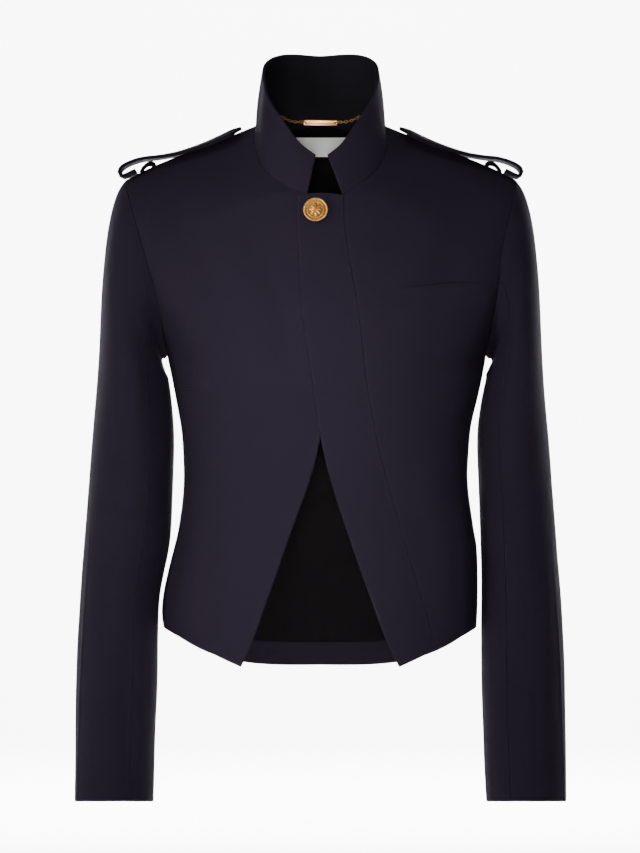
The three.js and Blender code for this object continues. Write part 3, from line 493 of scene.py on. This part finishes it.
sleeveFolds = [
    dict(at=(-205, -54, -330), run=(0.9, 0, 0.35), out=(-0.2, -1, 0), length=28, width=8, lift=-1.7),
    dict(at=(-190, -52, -372), run=(1, 0, -0.22), out=(0, -1, 0), length=30, width=9, lift=-2.0, curve=4),
    dict(at=(-207, -50, -405), run=(0.9, 0, 0.3), out=(-0.3, -1, 0), length=26, width=8, lift=-1.5),
    dict(at=(-168, -44, -350), run=(0.6, 0, 0.5), out=(0.4, -1, 0), length=30, width=8, lift=1.6),
    dict(at=(-172, -52, -215), run=(0.3, 0, -1), out=(0.1, -1, 0), length=62, width=9, lift=-2.2, curve=4),
    dict(at=(-203, -58, -190), run=(0.1, 0, -1), out=(-0.4, -1, 0), length=80, width=14, lift=1.6),
    dict(at=(-212, -46, -530), run=(0.05, 0, -1), out=(-0.4, -1, 0), length=95, width=12, lift=1.1),
    dict(at=(-186, -62, -575), run=(-0.02, 0, -1), out=(0.2, -1, 0), length=70, width=10, lift=-1.3),
    dict(at=(-219, -26, -560), run=(0.03, 0, -1), out=(-0.8, -1, 0), length=150, width=2.4, lift=0.9),
    dict(at=(190, -52, -366), run=(1, 0, 0.2), out=(0, -1, 0), length=28, width=8, lift=-1.8, curve=-4),
    dict(at=(206, -50, -342), run=(0.9, 0, -0.35), out=(0.3, -1, 0), length=26, width=8, lift=-1.4),
    dict(at=(205, -48, -412), run=(0.9, 0, -0.25), out=(0.3, -1, 0), length=27, width=9, lift=-1.6),
    dict(at=(177, -54, -200), run=(-0.15, 0, -1), out=(0, -1, 0), length=70, width=8, lift=-2.4, curve=-3),
    dict(at=(205, -58, -195), run=(-0.1, 0, -1), out=(0.4, -1, 0), length=85, width=14, lift=1.5),
    dict(at=(188, -60, -570), run=(0.03, 0, -1), out=(0, -1, 0), length=75, width=11, lift=-1.4),
    dict(at=(214, -44, -520), run=(-0.05, 0, -1), out=(0.5, -1, 0), length=90, width=12, lift=1.1),
    dict(at=(219, -26, -560), run=(-0.03, 0, -1), out=(0.8, -1, 0), length=150, width=2.4, lift=0.9),
    dict(at=(-195, 58, -345), run=(1, 0, 0.15), out=(0, 1, 0), length=34, width=8, lift=-2.0, curve=5),
    dict(at=(-190, 56, -385), run=(1, 0, -0.2), out=(0, 1, 0), length=32, width=8, lift=-1.7),
    dict(at=(196, 58, -352), run=(1, 0, -0.18), out=(0, 1, 0), length=33, width=8, lift=-1.9, curve=4),
    dict(at=(192, 56, -392), run=(1, 0, 0.2), out=(0, 1, 0), length=31, width=8, lift=-1.6),
    dict(at=(-198, 60, -205), run=(0.1, 0, -1), out=(-0.2, 1, 0), length=78, width=14, lift=1.7),
    dict(at=(199, 60, -210), run=(-0.1, 0, -1), out=(0.2, 1, 0), length=76, width=14, lift=1.6),
    dict(at=(-196, 22, -575), run=(0, 0.1, -1), out=(0, 1, 0), length=80, width=11, lift=-1.3),
    dict(at=(196, 22, -580), run=(0, 0.1, -1), out=(0, 1, 0), length=80, width=11, lift=-1.2),
]
collarFolds = [
    dict(at=(-47, -38, -14), run=(0.42, -0.25, -1), out=(-0.8, -0.6, 0), length=50, width=9, lift=1.4),
    dict(at=(-57, -18, 2), run=(0.2, -0.2, -1), out=(-1, -0.3, 0), length=42, width=9, lift=-1.1),
    dict(at=(48, -38, -16), run=(-0.4, -0.25, -1), out=(0.8, -0.6, 0), length=46, width=10, lift=1.0),
    dict(at=(0, 61, 38), run=(1, 0, 0.05), out=(0, 1, 0), length=36, width=11, lift=-0.8),
]
for fold in collarFolds:
    fold["reach"] = 20
allFolds = frontFolds + backFolds + sleeveFolds + collarFolds


# Rim faces of a wall are narrow and square to the cloth. Their inner edge is pushed out as a
# seam allowance under the next piece, and their outer edge drawn back, which leaves a groove

rimFace = dict(narrow=2.9, turn=55)  # widest rim in mm, least turn from the cloth in degrees


def shapeRims(work, middleX, under, groove):
    moves = {}
    for face in work.faces:
        lengths = sorted(edge.calc_length() for edge in face.edges)
        if len(face.edges) != 4 or lengths[1] > rimFace["narrow"] * mm:
            continue
        bends = [edge.calc_face_angle() for edge in face.edges if edge.calc_length() > lengths[1]]
        if not bends or min(bends) < math.radians(rimFace["turn"]):
            continue
        for vertex in face.verts:
            moves.setdefault(vertex, []).append(face.normal.copy())
    shifts = {}
    for vertex, found in moves.items():
        away = Vector((vertex.co.x - middleX, vertex.co.y, 0))
        broad = max(vertex.link_faces, key=lambda face: face.calc_area())
        outside = broad.normal.dot(away) > 0
        shifts[vertex] = sum(found, Vector()).normalized() * (-groove if outside else under)
    for vertex, shift in shifts.items():
        vertex.co += shift


# Moves the coarse points until the fine surface passes through where they began

def settleThroughPoints(piece, rounds=6):
    mesh = piece.data
    count = len(mesh.vertices)
    goal = readPoints(mesh)
    control = goal.copy()
    for _ in range(rounds):
        shown = piece.evaluated_get(bpy.context.evaluated_depsgraph_get())
        control += goal - readPoints(shown.data)[:count]
        mesh.vertices.foreach_set("co", control.ravel())
        mesh.update()


def readPoints(mesh):
    points = np.empty(3 * len(mesh.vertices))
    mesh.vertices.foreach_get("co", points)
    return points.reshape(-1, 3)


# A finer copy of a solid: four-sided cells, smooth faces, sharp rims that are then rounded

refining = dict(weld=1e-6, flat=28, square=60, crease=38, bevel=40)  # angles in degrees


def refine(node, name, material, levels, rim=0.45, folds=allFolds, life=0.22, seams=None):
    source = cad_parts[node]
    mesh = source.data.copy()
    mesh.materials.clear()
    work = bmesh.new()
    work.from_mesh(mesh)
    bmesh.ops.remove_doubles(work, verts=work.verts, dist=refining["weld"])
    bmesh.ops.join_triangles(
        work,
        faces=work.faces,
        angle_face_threshold=math.radians(refining["flat"]),
        angle_shape_threshold=math.radians(refining["square"]),
    )
    if seams:
        middleX = math.copysign(sleeveMiddle, mesh.vertices[0].co.x) if "sleeve" in node else 0
        shapeRims(work, middleX, seams["under"] * mm, seams["groove"] * mm)
    crease = work.edges.layers.float.new("crease_edge")
    for edge in work.edges:
        if len(edge.link_faces) == 2 and edge.calc_face_angle() > math.radians(refining["crease"]):
            edge[crease] = 1.0
    work.to_mesh(mesh)
    work.free()
    piece = bpy.data.objects.new(name, mesh)
    bpy.context.collection.objects.link(piece)
    if levels:
        subdivision = piece.modifiers.new("finer", "SUBSURF")
        subdivision.levels = 1
        settleThroughPoints(piece)
        subdivision.levels = levels
        subdivision.render_levels = levels
        applyModifiers(piece)
    movePoints(piece.data, folds, life)
    if rim:
        bevel = piece.modifiers.new("rim", "BEVEL")
        bevel.width = rim * mm
        bevel.segments = 2
        bevel.limit_method = "ANGLE"
        bevel.angle_limit = math.radians(refining["bevel"])
        applyModifiers(piece)
    piece.data.shade_smooth()
    piece.data.materials.append(material)
    return piece


def applyModifiers(piece):
    shown = piece.evaluated_get(bpy.context.evaluated_depsgraph_get())
    mesh = bpy.data.meshes.new_from_object(shown)
    old = piece.data
    piece.modifiers.clear()
    piece.data = mesh
    bpy.data.meshes.remove(old)


def movePoints(mesh, folds, life):
    points = readPoints(mesh)
    moved = points + clothLife(points, life)
    if folds:
        moved += foldField(points, folds)
    mesh.vertices.foreach_set("co", moved.ravel())
    mesh.update()


def finishPiece(piece, node):
    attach(piece, "root")
    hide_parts(node)


# Panels of the twill. flat and area: the cut of what shows, in metres and square metres
panels = [
    dict(node="front_right", flat=(0.27, 0.53), area=0.094, hangsFrom="collar_outer"),
    dict(node="front_left", flat=(0.23, 0.51), area=0.076, hangsFrom="collar_outer"),
    dict(node="placket", flat=(0.06, 0.47), area=0.023, hangsFrom="front_left"),
    dict(node="back_right", flat=(0.25, 0.55), area=0.101, hangsFrom="collar_outer"),
    dict(node="back_left", flat=(0.25, 0.55), area=0.104, hangsFrom="collar_outer"),
    dict(node="top_sleeve_right", flat=(0.24, 0.62), area=0.098, hangsFrom="front_right"),
    dict(node="under_sleeve_right", flat=(0.15, 0.53), area=0.056, hangsFrom="back_right"),
    dict(node="top_sleeve_left", flat=(0.24, 0.62), area=0.095, hangsFrom="front_left"),
    dict(node="under_sleeve_left", flat=(0.15, 0.53), area=0.055, hangsFrom="back_left"),
    dict(node="collar_outer", flat=(0.42, 0.10), area=0.0225, hangsFrom="back_right"),
]
clothLevels = 3
seamShape = dict(under=0.75, groove=0.27)  # mm


def makePanels():
    pieces = {}
    for panel in panels:
        node = panel["node"]
        piece = refine(node, node + "_cloth", navyTwill, clothLevels, seams=seamShape)
        finishPiece(piece, node)
        pieces[node] = piece
    return pieces


pieces = makePanels()
print("panels made")

# Cloth inside the jacket
insideRim = 0.3
insides = [
    # painted shade: the collar facing takes a darker copy of the navy twill
    dict(node="collar_inner", material=shadedInnerTwill, slot="inner_cloth", flat=(0.41, 0.10), area=0.0215),
    # painted shade: the hem band takes a slightly darker copy of the navy twill
    dict(node="back_hem_band", material=shadedBandTwill, slot="inner_cloth", flat=(0.34, 0.04), area=0.0082),
    dict(node="back_lining", material=satinLining, slot="lining", flat=(0.40, 0.52), area=0.165),
]
liningFolds = [
    dict(at=(0, 104, -470), run=(0, 0, -1), out=(0, -1, 0), length=62, width=2.6, lift=1.5, reach=20),
    dict(at=(-4.2, 104, -470), run=(0, 0, -1), out=(0, -1, 0), length=60, width=1.2, lift=-0.9, reach=20),
    dict(at=(44, 100, -455), run=(0.1, 0, -1), out=(0, -1, 0), length=50, width=10, lift=1.0, reach=20),
    dict(at=(-50, 100, -440), run=(-0.1, 0, -1), out=(0, -1, 0), length=56, width=11, lift=0.9, reach=20),
]


def makeInsides():
    for inside in insides:
        node = inside["node"]
        folds = allFolds + (liningFolds if node == "back_lining" else [])
        piece = refine(node, node + "_cloth", inside["material"], clothLevels, insideRim, folds)
        finishPiece(piece, node)


makeInsides()
print("inside cloth made")

# Doubled straps and their keepers, in a darker copy of the navy twill that is painted shade
trims = [
    dict(node="epaulette_right", flat=(0.046, 0.155), area=0.0058, on="front_right_cloth", rim=0.9),
    dict(node="epaulette_left", flat=(0.046, 0.155), area=0.0058, on="front_left_cloth", rim=0.9),
    dict(node="keeper_right", flat=(0.018, 0.022), area=0.00034, on="front_right_cloth", rim=0.4),
    dict(node="keeper_left", flat=(0.018, 0.022), area=0.00034, on="front_left_cloth", rim=0.4),
]


def makeTrims():
    for trim in trims:
        node = trim["node"]
        piece = refine(node, node + "_cloth", shadedStrapTwill, clothLevels, trim["rim"])
        finishPiece(piece, node)


makeTrims()
print("straps made")


def surfaceTree(piece):
    return BVHTree.FromObject(piece, bpy.context.evaluated_depsgraph_get())


def depthAt(tree, x, z, start, direction):
    hit = tree.ray_cast(Vector((x * mm, start, z * mm)), Vector((0, direction, 0)))[0]
    return hit.y


def smoothStep(value, low, high):
    share = min(1.0, max(0.0, (value - low) / (high - low)))
    return share * share * (3 - 2 * share)


def newPiece(name, work, material):
    mesh = bpy.data.meshes.new(name)
    bmesh.ops.recalc_face_normals(work, faces=work.faces)
    work.to_mesh(mesh)
    work.free()
    mesh.shade_smooth()
    mesh.materials.append(material)
    piece = bpy.data.objects.new(name, mesh)
    bpy.context.collection.objects.link(piece)
    return piece


def loft(work, rings, closeRings=True, caps=True):
    made = [[work.verts.new(point) for point in ring] for ring in rings]
    count = len(rings[0])
    steps = count if closeRings else count - 1
    for first, second in zip(made, made[1:]):
        for i in range(steps):
            j = (i + 1) % count
            work.faces.new((first[i], first[j], second[j], second[i]))
    if caps:
        work.faces.new(list(reversed(made[0])))
        work.faces.new(made[-1])


# Chest pocket: a welt nearly flush with the front, and above it a thin dark strip, painted shadow where the
# mouth opens.
# slit: x and z of the welt's upper edge, in mm
pocketShape = dict(
    slit=[
        (76, -161.5), (84, -160.4), (94, -159.2), (105, -158.0), (115, -156.8),
        (124, -156.0), (132, -155.6), (140, -155.5), (148, -155.9), (156, -156.5),
    ],
    sinkTop=0.95,
    sinkBottom=1.12,
    depth=9.6,
    leanAcross=0.45,
    leanBack=0.9,
    mouth=1.25,
    mouthStart=76.8,
    mouthLength=78.4,
    mouthSteps=60,
    mouthTaper=0.35,
    mouthCover=0.6,
    mouthLift=0.1,
    mouthDeep=-0.5,
)


def slitHeight(slit, x):
    return float(np.interp(x, [point[0] for point in slit], [point[1] for point in slit]))


def makePocket(shape, front):
    piece = refine("chest_welt", "chest_welt_cloth", navyTwill, clothLevels, 0.3)
    # The second material, a darker copy of the twill, colours the mouth strip as painted shadow
    piece.data.materials.append(shadedInnerTwill)
    points = readPoints(piece.data)
    for point in points:
        x, z = point[0] / mm, point[2] / mm
        down = min(1.0, max(0.0, (slitHeight(shape["slit"], x) - z) / shape["depth"]))
        sink = shape["sinkTop"] + (shape["sinkBottom"] - shape["sinkTop"]) * down
        point[0] -= shape["leanAcross"] * sink * mm
        point[1] += shape["leanBack"] * sink * mm
    piece.data.vertices.foreach_set("co", points.ravel())
    tree = surfaceTree(front)
    work = bmesh.new()
    work.from_mesh(piece.data)
    rings = []
    steps = shape["mouthSteps"]
    near, deep = shape["mouthLift"], shape["mouthDeep"]
    for step in range(steps + 1):
        x = shape["mouthStart"] + shape["mouthLength"] * step / steps
        taper = math.sin(math.pi * step / steps) ** shape["mouthTaper"]
        low = slitHeight(shape["slit"], x) - shape["mouthCover"]
        high = low + shape["mouthCover"] + shape["mouth"] * taper
        ring = []
        for z, lift in ((low, near), (high, near), (high, deep), (low, deep)):
            ring.append(Vector((x * mm, depthAt(tree, x, z, -0.3, 1) - lift * mm, z * mm)))
        rings.append(ring)
    # Thin dark strip straddling the front along the slit: painted shadow of the pocket mouth
    first = len(work.faces)
    loft(work, rings)
    work.faces.ensure_lookup_table()
    for i in range(first, len(work.faces)):
        work.faces[i].material_index = 1
    work.to_mesh(piece.data)
    work.free()
    finishPiece(piece, "chest_welt")


makePocket(pocketShape, pieces["front_left"])
print("pocket made")

# Button: a raised rope rim round a low rosette with a ring of beads
buttonShape = dict(
    radius=11.9,
    tilt=14.0,
    faceBack=4.4,
    faceLift=0.9,
    rimWidth=2.0,
    rimHeight=1.15,
    ropeTurns=44,
    ropeDepth=0.13,
    ropeSlant=3.2,
    petals=8,
    petalHeight=1.05,
    petalInner=0.25,
    petalOuter=0.30,
    veinDepth=0.25,
    veinWidth=0.09,
    heartHeight=0.45,
    heartWidth=0.11,
    beadCircle=0.66,
    beads=28,
    beadHeight=0.6,
    beadLength=0.42,
    beadWidth=0.045,
    dome=0.7,
    hollowDepth=0.62,
    hollowFrom=0.02,
    hollowTo=0.34,
    around=224,
    steps=64,
)
# Back of the button and its shank, from the rim inwards: share of the radius, and height in mm
buttonBack = [(1.0, 0.4), (0.97, 0.0), (0.9, -0.25), (0.28, -0.3), (0.25, -3.0), (0.05, -3.1)]


def buttonHeight(share, turn, shape):
    radius = shape["radius"]
    dome = shape["dome"] * (1 - share**2)
    rimPlace = (radius - shape["rimWidth"] / 2) / radius
    rimShare = (share - rimPlace) * radius / (shape["rimWidth"] / 2)
    rope = 1 + shape["ropeDepth"] * math.cos(shape["ropeTurns"] * turn + shape["ropeSlant"] * rimShare)
    rim = shape["rimHeight"] * math.sqrt(max(0.0, 1 - rimShare**2)) * rope if abs(rimShare) < 1 else 0
    petal = abs(math.cos(shape["petals"] / 2 * turn))
    reach = shape["petalInner"] + shape["petalOuter"] * petal
    inside = max(0.0, 1 - (share / reach) ** 4) if share < reach else 0.0
    offVein = math.sin(shape["petals"] / 2 * turn) / shape["veinWidth"]
    vein = shape["veinDepth"] * math.exp(-(offVein ** 2))
    flower = shape["petalHeight"] * inside * (0.55 + 0.45 * petal - vein * (share > 0.14))
    heart = shape["heartHeight"] * max(0.0, 1 - (share / shape["heartWidth"]) ** 2)
    beadPhase = turn * shape["beads"] / (2 * math.pi)
    alongBead = (beadPhase - round(beadPhase)) / shape["beadLength"]
    acrossBead = (share - shape["beadCircle"]) / shape["beadWidth"]
    bead = shape["beadHeight"] * math.sqrt(max(0.0, 1 - alongBead**2 - acrossBead**2))
    return dome + rim + flower + heart + bead


def makeButton(shape):
    low, high = (Vector(corner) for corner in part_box("button"))
    radius = (high.x - low.x) / 2
    around, steps = shape["around"], shape["steps"]
    tilt = Matrix.Rotation(math.radians(-shape["tilt"]), 4, "X")
    middle = Vector(((low.x + high.x) / 2, high.y - shape["faceBack"] * mm, (low.z + high.z) / 2))
    work = bmesh.new()
    rings = []
    for step in range(1, steps + 1):
        share = step / steps
        ring = []
        for i in range(around):
            turn = 2 * math.pi * i / around
            height = buttonHeight(share, turn, shape) + shape["faceLift"]
            across, up = radius * share * math.cos(turn), radius * share * math.sin(turn)
            ring.append(middle + tilt @ Vector((across, -height * mm, up)))
        rings.append(ring)
    for share, back in buttonBack:
        rings.append([
            middle + tilt @ Vector((
                radius * share * math.cos(2 * math.pi * i / around),
                -back * mm,
                radius * share * math.sin(2 * math.pi * i / around),
            ))
            for i in range(around)
        ])
    loft(work, rings)
    piece = newPiece("button_gold", work, goldMetal)
    hollow = piece.data.attributes.new("hollow", "FLOAT", "POINT")
    for step in range(steps):
        share = (step + 1) / steps
        for i in range(around):
            turn = 2 * math.pi * i / around
            height = buttonHeight(share, turn, shape) - shape["dome"] * (1 - share**2)
            filled = smoothStep(height, shape["hollowFrom"], shape["hollowTo"])
            hollow.data[step * around + i].value = shape["hollowDepth"] * (1 - filled)
    finishPiece(piece, "button")


makeButton(buttonShape)
print("button made")

# Hanging chain: oval links, each turned a quarter from the one before, and a bare plate
chainShape = dict(
    pitch=2.75,
    linkLength=4.2,
    linkWidth=3.0,
    wire=0.38,
    turns=28,
    sides=10,
    quarter=82,
    twist=3.0,
    firstSpin=12,
    inset=1.0,
    endGap=0.2,
    endRise=1.0,
    sagAcross=0.38,
    sagBack=0.7,
    sagRise=0.4,
)


def linkRings(shape, place):
    straight = (shape["linkLength"] - shape["linkWidth"]) / 2
    bend = shape["linkWidth"] / 2 - shape["wire"]
    turns, sides = shape["turns"], shape["sides"]
    rings = []
    for i in range(turns):
        turn = 2 * math.pi * i / turns
        shift = straight * (1 if math.cos(turn) > 0 else -1)
        middle = Vector((bend * math.cos(turn) + shift, bend * math.sin(turn), 0))
        out = Vector((math.cos(turn), math.sin(turn), 0))
        ring = []
        for j in range(sides):
            angle = 2 * math.pi * j / sides
            wire = out * math.cos(angle) + Vector((0, 0, 1)) * math.sin(angle)
            ring.append(place @ ((middle + wire * shape["wire"]) * mm))
        rings.append(ring)
    return rings


def addLink(work, shape, place):
    rings = linkRings(shape, place)
    made = [[work.verts.new(point) for point in ring] for ring in rings]
    for first, second in zip(made, made[1:] + made[:1]):
        for i in range(len(first)):
            j = (i + 1) % len(first)
            work.faces.new((first[i], first[j], second[j], second[i]))


def sampleCurve(points, count, fineSteps=199):
    fine = []
    for i in range(fineSteps + 1):
        share = i / fineSteps
        left = [points[0] * (1 - share) + points[1] * share, points[1] * (1 - share) + points[2] * share]
        fine.append(left[0] * (1 - share) + left[1] * share)
    lengths = [0.0]
    for a, b in zip(fine, fine[1:]):
        lengths.append(lengths[-1] + (b - a).length)
    result = []
    for i in range(count):
        goal = lengths[-1] * i / (count - 1)
        k = min(range(len(lengths)), key=lambda n: abs(lengths[n] - goal))
        result.append(fine[k])
    return result, lengths[-1]


def makeChain(sideName, side, shape):
    low, high = (Vector(corner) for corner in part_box("hanger_chain_" + sideName))
    outerX, innerX = (low.x, high.x) if side < 0 else (high.x, low.x)
    inset = shape["inset"] * mm
    start = Vector((outerX - side * inset, low.y + inset, high.z - inset))
    end = Vector((
        innerX + side * shape["endGap"] * mm,
        high.y - inset,
        low.z + inset + shape["endRise"] * mm,
    ))
    sag = Vector((
        start.x * (1 - shape["sagAcross"]) + end.x * shape["sagAcross"],
        start.y * (1 - shape["sagBack"]) + end.y * shape["sagBack"],
        low.z + shape["sagRise"] * mm,
    ))
    length = sampleCurve([start, sag, end], 2)[1]
    count = int(round(length / (shape["pitch"] * mm)))
    places = sampleCurve([start, sag, end], count)[0]
    work = bmesh.new()
    for i, place in enumerate(places):
        ahead = places[min(i + 1, count - 1)] - places[max(i - 1, 0)]
        turn = ahead.to_track_quat("X", "Z").to_matrix().to_4x4()
        degrees = shape["quarter"] * i + shape["twist"] * i + shape["firstSpin"]
        spin = Matrix.Rotation(math.radians(degrees), 4, "X")
        addLink(work, shape, Matrix.Translation(place) @ turn @ spin)
    piece = newPiece(f"hanger_chain_{sideName}_links", work, goldMetal)
    finishPiece(piece, "hanger_chain_" + sideName)


makeChain("right", -1, chainShape)
makeChain("left", 1, chainShape)
plate = refine("hanger_plate", "hanger_plate_gold", goldMetal, 0, 0.3, None, 0)
finishPiece(plate, "hanger_plate")
print("hanging chain made")

# Bare woven label, on the lining, with turned ends and a few stitches at each corner
labelShape = dict(
    halfWidth=25.0,
    top=-7.5,
    bottom=-26.0,
    gap=0.7,
    thickness=0.6,
    turnedWidth=4.5,
    turnedHeight=0.28,
    wobble=0.12,
    wobbleAcross=0.31,
    wobblePhase=0.9,
    wobbleUp=0.42,
    columns=80,
    rows=30,
)
stitchPlaces = [(-23.2, -9.2), (-23.2, -24.3), (23.2, -9.2), (23.2, -24.3)]
stitchShape = dict(length=1.7, radius=0.17, endShare=0.35, step=0.75, count=3, rings=7, sides=8)


def labelPoint(shape, tree, x, z, out):
    edge = shape["halfWidth"] - shape["turnedWidth"]
    turned = shape["turnedHeight"] * smoothStep(abs(x), edge - 0.2, edge + 0.2)
    lift = shape["gap"] + (shape["thickness"] + turned if out else 0)
    across = math.sin(shape["wobbleAcross"] * x + shape["wobblePhase"])
    lift += shape["wobble"] * across * math.sin(shape["wobbleUp"] * z)
    return Vector((x * mm, depthAt(tree, x, z, 0.0, 1) - lift * mm, z * mm))


def makeLabelPiece(shape, lining):
    tree = surfaceTree(lining)
    work = bmesh.new()
    columns, rows = shape["columns"], shape["rows"]
    layers = []
    for out in (True, False):
        grid = []
        for row in range(rows + 1):
            z = shape["bottom"] + (shape["top"] - shape["bottom"]) * row / rows
            line = []
            for column in range(columns + 1):
                x = shape["halfWidth"] * (2 * column / columns - 1)
                line.append(work.verts.new(labelPoint(shape, tree, x, z, out)))
            grid.append(line)
        layers.append(grid)
    face, back = layers
    for row in range(rows):
        for i in range(columns):
            work.faces.new((face[row][i], face[row][i + 1], face[row + 1][i + 1], face[row + 1][i]))
            work.faces.new((back[row][i], back[row + 1][i], back[row + 1][i + 1], back[row][i + 1]))
        for i in (0, columns):
            work.faces.new((face[row][i], face[row + 1][i], back[row + 1][i], back[row][i]))
    for i in range(columns):
        for row in (0, rows):
            work.faces.new((face[row][i], back[row][i], back[row][i + 1], face[row][i + 1]))
    for placeX, placeZ in stitchPlaces:
        for k in range(stitchShape["count"]):
            addStitch(work, shape, tree, placeX, placeZ + stitchShape["step"] * (k - 1))
    piece = newPiece("neck_label_tape", work, labelTape)
    finishPiece(piece, "neck_label")


def addStitch(work, shape, tree, x, z):
    rings = []
    sides, thin = stitchShape["sides"], stitchShape["endShare"]
    for step in range(stitchShape["rings"]):
        share = step / (stitchShape["rings"] - 1)
        along = x + stitchShape["length"] * (share - 0.5)
        radius = stitchShape["radius"] * (thin + (1 - thin) * math.sin(math.pi * share))
        middle = labelPoint(shape, tree, along, z, True)
        rings.append([
            middle + Vector((0, -radius * math.cos(turn) * mm, radius * math.sin(turn) * mm))
            for turn in (2 * math.pi * i / sides for i in range(sides))
        ])
    loft(work, rings)


makeLabelPiece(labelShape, bpy.data.objects["back_lining_cloth"])
print("label made")

# Pale floor that sweeps up into a backdrop, and soft light
stageSettings = dict(
    floor=-0.80,
    reach=9.0,
    back=4.5,
    rise=5.0,
    bend=1.6,
    bendSteps=16,
    colour=(0.86, 0.86, 0.86),
    shade=0.985,
    patches=0.8,
    fibres=40.0,
    roughness=0.9,
)
worldLook = dict(colour=(1.0, 0.98, 0.98, 1), light=0.05, seen=0.85)  # seen is added for the camera
lightSettings = [
    dict(
        name="key",
        at=(-2.3, -2.3, -0.1),
        aim=(0, 0, -0.35),
        size=(0.9, 1.5),
        power=54,
        colour=(1.0, 0.985, 0.965),
    ),
    dict(
        name="front",
        at=(-0.03, -1.5, -0.37),
        aim=(-0.02, 0, -0.32),
        size=(0.16, 0.62),
        power=0.7,
        spread=22,
    ),
    dict(name="above", at=(-0.3, -1.6, 1.5), aim=(0, 0, -0.2), size=(1.4, 0.9), power=17),
    dict(name="sideRight", at=(-1.9, -0.2, -0.4), aim=(0, -0.05, -0.45), size=(0.6, 1.4), power=7),
    dict(name="sideLeft", at=(1.9, -0.4, -0.4), aim=(0, -0.05, -0.45), size=(0.6, 1.4), power=8),
    dict(name="backdrop", at=(0, 0.8, 1.1), aim=(0, 2.8, 0.6), size=(4.0, 1.4), power=1450),
]


def makeStage(settings):
    material, tree, shader, coordinates = startMaterial("paleFloor")
    mottle = placeMottle(tree, coordinates, settings)
    pale = settings["colour"]
    near = tuple(value * settings["shade"] for value in pale)
    colour = mixColours(tree, mottle.outputs["Shade"], near, pale)
    tree.links.new(colour, shader.inputs["Base Color"])
    shader.inputs["Roughness"].default_value = settings["roughness"]
    geometry = tree.nodes.new("ShaderNodeNewGeometry")
    clear = tree.nodes.new("ShaderNodeBsdfTransparent")
    sides = tree.nodes.new("ShaderNodeMixShader")
    tree.links.new(geometry.outputs["Backfacing"], sides.inputs["Fac"])
    tree.links.new(shader.outputs["BSDF"], sides.inputs[1])
    tree.links.new(clear.outputs["BSDF"], sides.inputs[2])
    output = next(node for node in tree.nodes if node.type == "OUTPUT_MATERIAL")
    tree.links.new(sides.outputs["Shader"], output.inputs["Surface"])
    work = bmesh.new()
    profile = [(-settings["reach"], settings["floor"])]
    turns = settings["bendSteps"]
    for i in range(turns + 1):
        turn = math.pi / 2 * i / turns
        y = settings["back"] - settings["bend"] + settings["bend"] * math.sin(turn)
        z = settings["floor"] + settings["bend"] * (1 - math.cos(turn))
        profile.append((y, z))
    profile.append((settings["back"], settings["rise"]))
    rows = [[Vector((x, y, z)) for y, z in profile] for x in (-settings["reach"], settings["reach"])]
    loft(work, rows, closeRings=False, caps=False)
    floor = newPiece("floor", work, material)
    if floor.data.polygons[0].normal.z < 0:
        floor.data.flip_normals()
    floor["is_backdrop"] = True


def addLight(settings):
    data = bpy.data.lights.new(settings["name"], "AREA")
    data.shape = "RECTANGLE"
    data.size, data.size_y = settings["size"]
    data.energy = settings["power"]
    data.color = settings.get("colour", (1, 1, 1))
    data.spread = math.radians(settings.get("spread", 180))
    light = bpy.data.objects.new(settings["name"], data)
    light.location = settings["at"]
    aim = Vector(settings["aim"]) - Vector(settings["at"])
    light.rotation_euler = aim.to_track_quat("-Z", "Y").to_euler()
    bpy.context.collection.objects.link(light)


makeStage(stageSettings)
for lightSetting in lightSettings:
    addLight(lightSetting)

world = bpy.data.worlds.new("softRoom")
world.use_nodes = True
roomLight = world.node_tree.nodes["Background"]
roomLight.inputs["Color"].default_value = worldLook["colour"]
rays = world.node_tree.nodes.new("ShaderNodeLightPath")
seen = rays.outputs["Is Camera Ray"]
brightness = scaleAndAdd(world.node_tree, seen, worldLook["seen"], worldLook["light"])
world.node_tree.links.new(brightness, roomLight.inputs["Strength"])
bpy.context.scene.world = world
print("stage and lights placed")

sizes = dict(cad=[[float(v) for v in corner] for corner in cadBounds])
sizes["visual"] = [[float(v) for v in corner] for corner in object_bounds()]
